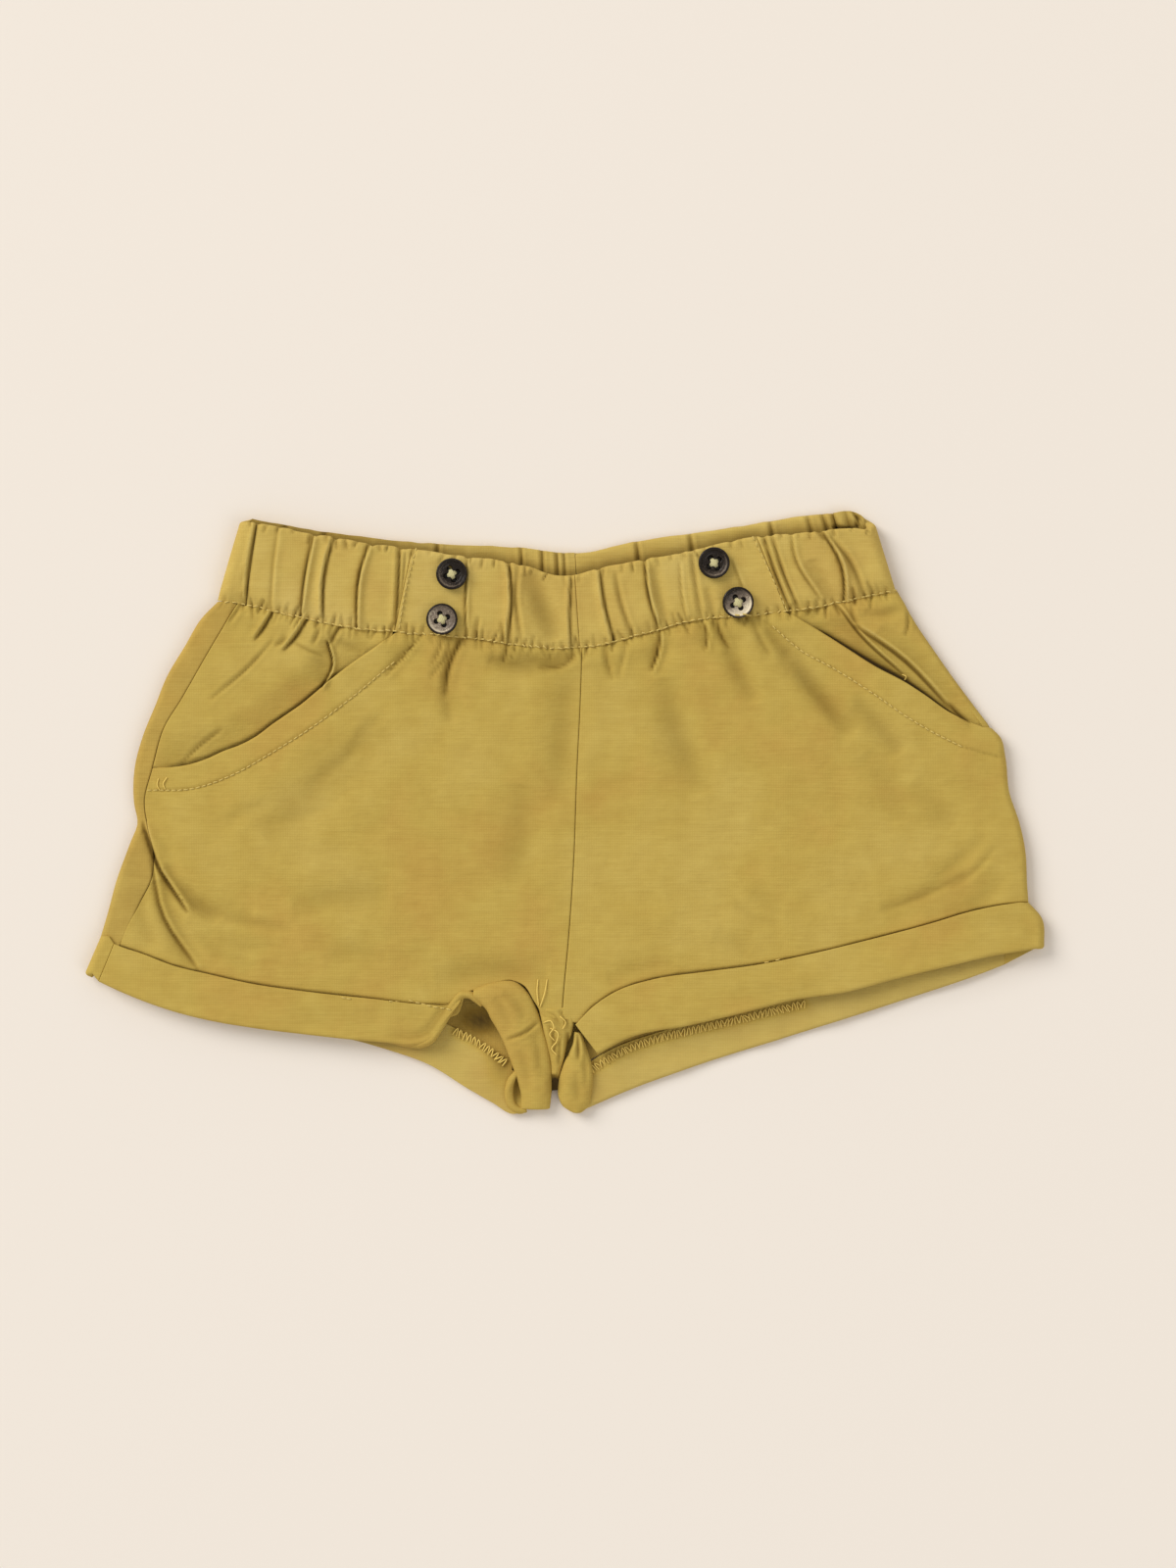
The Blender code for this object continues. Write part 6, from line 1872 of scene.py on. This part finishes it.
@dataclass
class Buttons:
    """Four smoked shell buttons: a raised rim, a dished face, four holes and a thread cross."""

    radius: float = 5.1
    height: float = 2.3
    foot: float = 7.75            # height of their underside
    rim: float = 0.9              # width of the raised rim
    dish: float = 0.5             # depth of the face below it
    hole: float = 0.8             # radius of a hole
    hole_place: float = 1.95      # distance of a hole from the middle
    hole_depth: float = 1.5
    strand: float = 0.32          # radius of a strand of thread
    steps: int = 84

    def face(self, across: Array, angle: Array) -> tuple[Array, Array]:
        """Height of the face below the rim's top.

        Args:
            across: Distance from the middle.
            angle: Direction from the middle, with the holes at 45 degrees and so on.

        Returns:
            The height, and how deep in a hole each point is, from 0 to 1.
        """
        inner = self.radius - self.rim
        level = -self.dish * (1 - ease((across - inner + 0.35) / 0.5))
        level -= 0.16 * (1 - ease((across - 2.9) / 0.5))
        level -= 0.25 * ease((across - self.radius + 0.42) / 0.42) ** 2
        nearest = np.full(across.shape, np.inf)
        for k in range(4):
            hole = np.radians(45.0 + 90.0 * k)
            gap = np.hypot(across * np.cos(angle) - self.hole_place * np.cos(hole),
                           across * np.sin(angle) - self.hole_place * np.sin(hole))
            nearest = np.minimum(nearest, gap)
        inside = ease((self.hole - nearest) / 0.16 + 0.5)
        level = level - 0.12 * ease((self.hole + 0.3 - nearest) / 0.3) - self.hole_depth * inside
        return level, inside

    def disc(self, button: Button, finish: Material) -> Object:
        """The button itself.

        Args:
            button: Which one.
            finish: Its material.

        Returns:
            The piece.
        """
        fine = np.arange(0.1, 2.95, 0.105)
        rings = np.concatenate((fine, np.arange(3.05, 3.8, 0.25), np.arange(3.8, self.radius, 0.12)))
        angle = np.arange(self.steps) / self.steps * 2 * np.pi
        across, around = np.meshgrid(rings, angle, indexing="ij")
        level, inside = self.face(across, around)
        sides = np.array(((self.radius, -0.42), (self.radius, -1.15), (self.radius - 0.3, -1.6),
                          (self.radius - 1.1, -2.05), (self.radius - 2.0, -self.height), (0.4, -self.height)))
        across = np.concatenate((across, np.repeat(sides[:, :1], self.steps, axis=1)))
        around = np.concatenate((around, np.repeat(angle[None], len(sides), axis=0)))
        level = np.concatenate((level, np.repeat(sides[:, 1:], self.steps, axis=1)))
        inside = np.concatenate((inside, np.zeros((len(sides), self.steps))))
        turned = around + math.radians(button.turn - 45.0)
        x, y = across * np.cos(turned), across * np.sin(turned)
        top = self.foot + self.height
        z = top + level - button.tilt[0] * x - button.tilt[1] * y
        # painted sheen, brightest towards light_side
        sheen = np.cos(turned - math.radians(button.light_side)) * across / self.radius
        # painted shade in the holes
        tone = button.pale + button.sheen * sheen - 1.6 * inside
        # painted highlight on a ring inside the rim
        ring = bell(across, self.radius - 1.05, 0.25)
        tone += 0.6 * ring * np.clip(sheen + 0.3, 0.0, 1.0)
        # painted shade at the rim's outer edge
        tone -= 1.6 * ease((across - self.radius + 0.8) / 0.35)
        # darker inner dish on the dark ones
        tone -= 0.35 * (across < 2.9) * (button.pale < -0.5)
        # painted shade on the sides
        tone[len(rings):] = -1.0
        points = np.stack((x + button.x, y + button.y, z), axis=-1).reshape(-1, 3)
        made = made_piece(f"{button.name}_shell", points, round_faces(len(across), self.steps), finish,
                          np.clip(tone, -1.0, 1.0).ravel())
        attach(made, "root")
        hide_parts(button.name)
        log.info("%s: %d faces", made.name, len(made.data.polygons))
        return made

    def cross(self, button: Button, finish: Material) -> Object:
        """The strands that cross between a button's holes.

        Args:
            button: Which one.
            finish: Their material.

        Returns:
            The piece.
        """
        routes = []
        share = np.linspace(-1.0, 1.0, 15)
        top = self.foot + self.height - self.dish
        for bundle in (0, 1):
            along = math.radians(button.turn + 90.0 * bundle)
            for offset in (-0.5, 0.0, 0.5):
                reach = share * (self.hole_place - 0.5)
                aside = offset * (1 - 0.5 * share ** 2)
                z = top + 0.14 + 0.18 * bundle + 0.12 * (offset == 0) - 1.5 * np.abs(share) ** 4
                routes.append(np.column_stack((
                    button.x + reach * math.cos(along) - aside * math.sin(along),
                    button.y + reach * math.sin(along) + aside * math.cos(along), z)))
        made = tube(f"{button.name}_thread", routes, self.strand, finish)
        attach(made, "root")
        return made

    def build(self, shell: Material, thread: Material) -> None:
        """Make all four with their threads."""
        for button in BUTTONS:
            self.disc(button, shell)
            self.cross(button, thread)


# Finishes

def linear(colour: str) -> tuple[float, float, float, float]:
    """Turn an sRGB hex colour to linear.

    Args:
        colour: Six hex digits after a hash.

    Returns:
        Linear red, green, blue and a full alpha.
    """
    parts = [int(colour[k:k + 2], 16) / 255 for k in (1, 3, 5)]
    red, green, blue = (p / 12.92 if p <= 0.04045 else ((p + 0.055) / 1.055) ** 2.4 for p in parts)
    return red, green, blue, 1.0


def add_node(tree: Tree, kind: str, settings: dict[str, Any] | None = None,
             **inputs: Any) -> bpy.types.Node:
    """Add a node with its settings, values and links.

    Args:
        tree: The tree that gets it.
        kind: The node's type.
        settings: Properties of the node, by name.
        **inputs: Value or output socket for each input, by name, with _ for a space; an input
            that shares its name with another is named by its place, as i0.

    Returns:
        The node.
    """
    made = tree.nodes.new(kind)
    for key, value in (settings or {}).items():
        setattr(made, key, value)
    for key, value in inputs.items():
        place = int(key[1:]) if key[0] == "i" and key[1:].isdigit() else key.replace("_", " ")
        socket = made.inputs[place]
        if isinstance(value, Socket):
            tree.links.new(value, socket)
        else:
            socket.default_value = value
    return made


def per_mm(size: float) -> float:
    """Scale of a noise whose features measure size millimetres."""
    return 1.0 / (size * MM)


def wave_scale(period: float) -> float:
    """Scale of a band texture with a period in millimetres."""
    return 2 * math.pi / 20 / (period * MM)


class Finish:
    """A material under construction, with the nodes that the finishes share."""

    def __init__(self, name: str) -> None:
        """Start an empty material.

        Args:
            name: Its name.
        """
        self.material = bpy.data.materials.new(name)
        self.material.use_nodes = True
        self.material.node_tree.nodes.clear()
        self.node = partial(add_node, self.material.node_tree)
        self.place = self.node("ShaderNodeTexCoord").outputs["Object"]

    def noise(self, scale: float, detail: float, roughness: float = 0.5,
              place: Socket | None = None) -> Socket:
        """Noise, in the object's own coordinates or others.

        Args:
            scale: Its scale.
            detail: Its detail.
            roughness: Its roughness.
            place: The other coordinates.

        Returns:
            The value socket.
        """
        place = self.place if place is None else place
        return self.node("ShaderNodeTexNoise", Vector=place, Scale=scale, Detail=detail,
                         Roughness=roughness).outputs[0]

    def tone(self) -> Socket:
        """The tone that the mesh's points carry."""
        return self.node("ShaderNodeAttribute", {"attribute_name": "tone"}).outputs["Fac"]

    def spread(self, value: Socket, low: float, high: float, start: float, end: float) -> Socket:
        """Map the range of a value from low to high onto start to end."""
        return self.node("ShaderNodeMapRange", Value=value, i1=low, i2=high, i3=start, i4=end).outputs[0]

    def bump(self, strength: float, depth: float, height: Socket, under: Socket | None = None) -> Socket:
        """Bump, on top of another one where that is given.

        Args:
            strength: Its strength.
            depth: Its depth, in millimetres.
            height: What raises it.
            under: Normal socket of the other one.

        Returns:
            The normal socket.
        """
        below = {} if under is None else {"Normal": under}
        return self.node("ShaderNodeBump", Strength=strength, Distance=depth * MM, Height=height,
                         **below).outputs[0]

    def ramp(self, value: Socket, stops: Sequence[tuple[float, str]]) -> Socket:
        """Colour a value through a ramp.

        Args:
            value: What drives the ramp.
            stops: Place and hex colour of each stop.

        Returns:
            The colour socket.
        """
        made = self.node("ShaderNodeValToRGB", Fac=value)
        band = made.color_ramp
        while len(band.elements) < len(stops):
            band.elements.new(0.5)
        for element, (where, colour) in zip(band.elements, stops):
            element.position = where
            element.color = linear(colour)
        return made.outputs[0]

    def blend(self, mode: str, share: float | Socket, first: Any, second: Any) -> Socket:
        """Blend a share of the second colour into the first."""
        settings = {"data_type": "RGBA", "blend_type": mode}
        return self.node("ShaderNodeMix", settings, i0=share, i6=first, i7=second).outputs[2]

    def done(self, **inputs: Any) -> Material:
        """Add the shader with its inputs.

        Args:
            **inputs: Inputs of the shader, as add_node takes them.

        Returns:
            The finished material.
        """
        shader = self.node("ShaderNodeBsdfPrincipled", **inputs)
        self.node("ShaderNodeOutputMaterial", Surface=shader.outputs[0])
        return self.material


@dataclass(frozen=True)
class DyedCotton:
    """Garment-dyed slub cotton: matt, blotchy, streaked along the weft, paler where it wears, with painted
    highlight on ridges and painted shade in creases, seams and openings.
    """

    name: str
    ground: str = "#C0A44F"      # the dyed cloth
    pale: str = "#C4A956"        # where dye took less
    deep: str = "#BF9E4C"        # where it took more
    crease: str = "#6E5212"      # painted shade in seams and creases
    wear_and_highlight: str = "#D6BF78"        # wear on ridges and folded edges, and painted highlight on lit ridges and on the back hems' inner side
    gap: str = "#2E200A"         # deep in an opening, where no light reaches
    thread: float = 0.55         # thread spacing; the real 0.35 mm is too fine to show
    streak: tuple[float, float] = (9.0, 0.8)   # length and height of a slub
    roughness: float = 0.88
    sheen: float = 0.15

    def build(self) -> Material:
        """Make the material.

        Returns:
            The material.
        """
        make = Finish(self.name)
        blotch = make.noise(per_mm(34.0), 3.0, 0.55)
        mottle = make.noise(per_mm(7.0), 4.0, 0.6)
        long, high = self.streak
        stretched = make.node("ShaderNodeMapping", Vector=make.place,
                              Scale=(per_mm(long), per_mm(high), per_mm(high)))
        slub = make.noise(1.0, 2.0, place=stretched.outputs[0])
        warp, weft = (make.node("ShaderNodeTexWave", {"bands_direction": way}, Vector=make.place,
                                Scale=wave_scale(self.thread), Distortion=1.2, Detail=1.0,
                                Detail_Scale=0.4).outputs["Fac"] for way in ("X", "Y"))
        weave = make.node("ShaderNodeMath", {"operation": "MULTIPLY"}, i0=warp, i1=weft).outputs[0]
        tone = make.tone()

        colour = make.ramp(blotch, ((0.34, self.deep), (0.5, self.ground), (0.68, self.pale)))
        for share, pattern in ((0.22, mottle), (0.16, slub), (0.16, weave)):
            colour = make.blend("SOFT_LIGHT", share, colour, pattern)
        # the tone attribute paints shade in creases, deeper shade in openings, and wear with a painted
        # highlight on ridges
        for low, high, most, mark in ((0.0, -1.0, 0.8, self.crease), (-1.0, -2.0, 0.9, self.gap),
                                      (0.0, 1.0, 0.7, self.wear_and_highlight)):
            colour = make.blend("MIX", make.spread(tone, low, high, 0.0, most), colour, linear(mark))

        bump = make.bump(0.35, 0.12, weave)
        bump = make.bump(0.5, 0.25, slub, bump)
        bump = make.bump(0.5, 0.7, mottle, bump)
        return make.done(Base_Color=colour, Roughness=self.roughness, Normal=bump,
                         Sheen_Weight=self.sheen, Sheen_Roughness=0.45, Sheen_Tint=linear(self.pale),
                         IOR=1.45, Specular_IOR_Level=0.25)


@dataclass(frozen=True)
class SmokedShell:
    """Polished smoked shell: near black, and grey-brown to pearly in its layers, with painted reflection,
    highlights and glints, and painted shade, carried by its tone.
    """

    dark: str = "#1A1109"
    body: str = "#796A5B"
    # pale end of the ramp: partly the shell's nacre, partly painted reflection
    pearl_and_reflection: str = "#E2D3B4"
    roughness: float = 0.3

    def build(self) -> Material:
        """Make the material.

        Returns:
            The material.
        """
        make = Finish("smoked_shell")
        cloud = make.noise(per_mm(0.9), 3.0)
        mixed = make.node("ShaderNodeMath", {"operation": "MULTIPLY_ADD"}, i0=cloud, i1=0.7,
                          i2=make.tone())
        # painted glints
        painted_glint = make.spread(make.noise(per_mm(0.35), 1.0), 0.58, 0.72, 0.0, 0.55)
        with_painted_glints = make.node("ShaderNodeMath", {"operation": "ADD"}, i0=mixed.outputs[0], i1=painted_glint)
        level = make.spread(with_painted_glints.outputs[0], -0.65, 1.35, 0.0, 1.0)
        colour = make.ramp(level, ((0.12, self.dark), (0.55, self.body), (0.95, self.pearl_and_reflection)))
        return make.done(Base_Color=colour, Roughness=self.roughness, IOR=1.56, Specular_IOR_Level=0.22)


@dataclass(frozen=True)
class SpunThread:
    """Spun polyester sewing thread: matt, slightly paler than the cloth, with a fuzzy edge."""

    name: str
    colour: str
    twist: float = 0.5           # length of one twist, in millimetres

    def build(self) -> Material:
        """Make the material.

        Returns:
            The material.
        """
        make = Finish(self.name)
        bump = make.bump(0.5, 0.1, make.noise(per_mm(self.twist), 1.0))
        return make.done(Base_Color=linear(self.colour), Roughness=0.85, IOR=1.5,
                         Specular_IOR_Level=0.2, Normal=bump)


@dataclass(frozen=True)
class Studio:
    """Pale floor, soft studio light and the camera above the garment."""

    floor_colour: str = "#F0E6DA"
    aim: tuple[float, float] = (7.7, 9.4)    # middle of the picture
    height: float = 1200.0                   # of the camera above the cloth
    cloth_level: float = 4.0
    view: float = 512.0                      # what the picture's long side spans
    sensor: float = 36.0
    floor_half: float = 1600.0               # half of the floor's side
    floor_level: float = -0.05               # just below the cloth

    def floor(self) -> None:
        """A matt paper floor with a faint tooth."""
        far, low = self.floor_half, self.floor_level
        corners = np.array(((-far, -far, low), (far, -far, low), (far, far, low), (-far, far, low)))
        make = Finish("matt_paper")
        bump = make.bump(0.08, 0.1, make.noise(per_mm(1.5), 3.0))
        paper = make.done(Base_Color=linear(self.floor_colour), Roughness=0.95, Normal=bump)
        made_piece("floor", corners, [[0, 1, 2, 3]], paper)

    def light(self) -> None:
        """A large soft key from the upper left, a fill and a bright room."""
        for name, place, size, power in (("key", (-5.2, 3.7, 4.4), 4.6, 410.0),
                                         ("fill", (2.2, -1.6, 3.0), 3.0, 24.0)):
            data = bpy.data.lights.new(name, "AREA")
            data.shape = "DISK"
            data.size = size
            data.energy = power
            lamp = placed(name, data)
            lamp.location = place
            lamp.rotation_mode = "QUATERNION"
            lamp.rotation_quaternion = (-lamp.location).to_track_quat("-Z", "Y")
        world = bpy.data.worlds.new("room")
        world.use_nodes = True
        world.node_tree.nodes["Background"].inputs[0].default_value = (1.0, 0.99, 0.97, 1.0)
        world.node_tree.nodes["Background"].inputs[1].default_value = 0.55
        bpy.context.scene.world = world
        bpy.context.scene.view_settings.view_transform = "Standard"

    def camera(self) -> None:
        """A long lens straight above, as in the photograph."""
        data = bpy.data.cameras.new("camera")
        data.sensor_width = self.sensor
        data.lens = self.sensor * self.height / self.view
        camera = placed("camera", data)
        camera.location = (self.aim[0] * MM, self.aim[1] * MM, (self.height + self.cloth_level) * MM)
        bpy.context.scene.camera = camera


def main() -> None:
    """Build the shorts and the studio."""
    logging.basicConfig(level=logging.INFO, format="%(message)s")
    cloth = DyedCotton("garment_dyed_slub_cotton").build()
    casing = DyedCotton("garment_dyed_casing_cotton", ground="#C8AC59", pale="#CDB263",
                        deep="#C4A555").build()
    hem = DyedCotton("garment_dyed_hem_cotton").build()
    inside = DyedCotton("garment_dyed_cotton_wrong_side", ground="#B6984A").build()
    finishes = {"cloth": cloth, "casing": casing, "hem": hem, "inside": inside}
    for group in (Panels(), Casing(), Hems()):
        for piece in group.pieces():
            piece.build(finishes[piece.slot])
    shell = SmokedShell().build()
    thread = SpunThread("button_thread", "#CDC391").build()
    seam_thread = SpunThread("seam_thread", "#D3B96A").build()
    Needlework().sew(seam_thread, SpunThread("loose_thread", "#EBCB6C").build())
    Buttons().build(shell, thread)
    studio = Studio()
    studio.floor()
    studio.light()
    studio.camera()


if __name__ == "__main__":
    main()
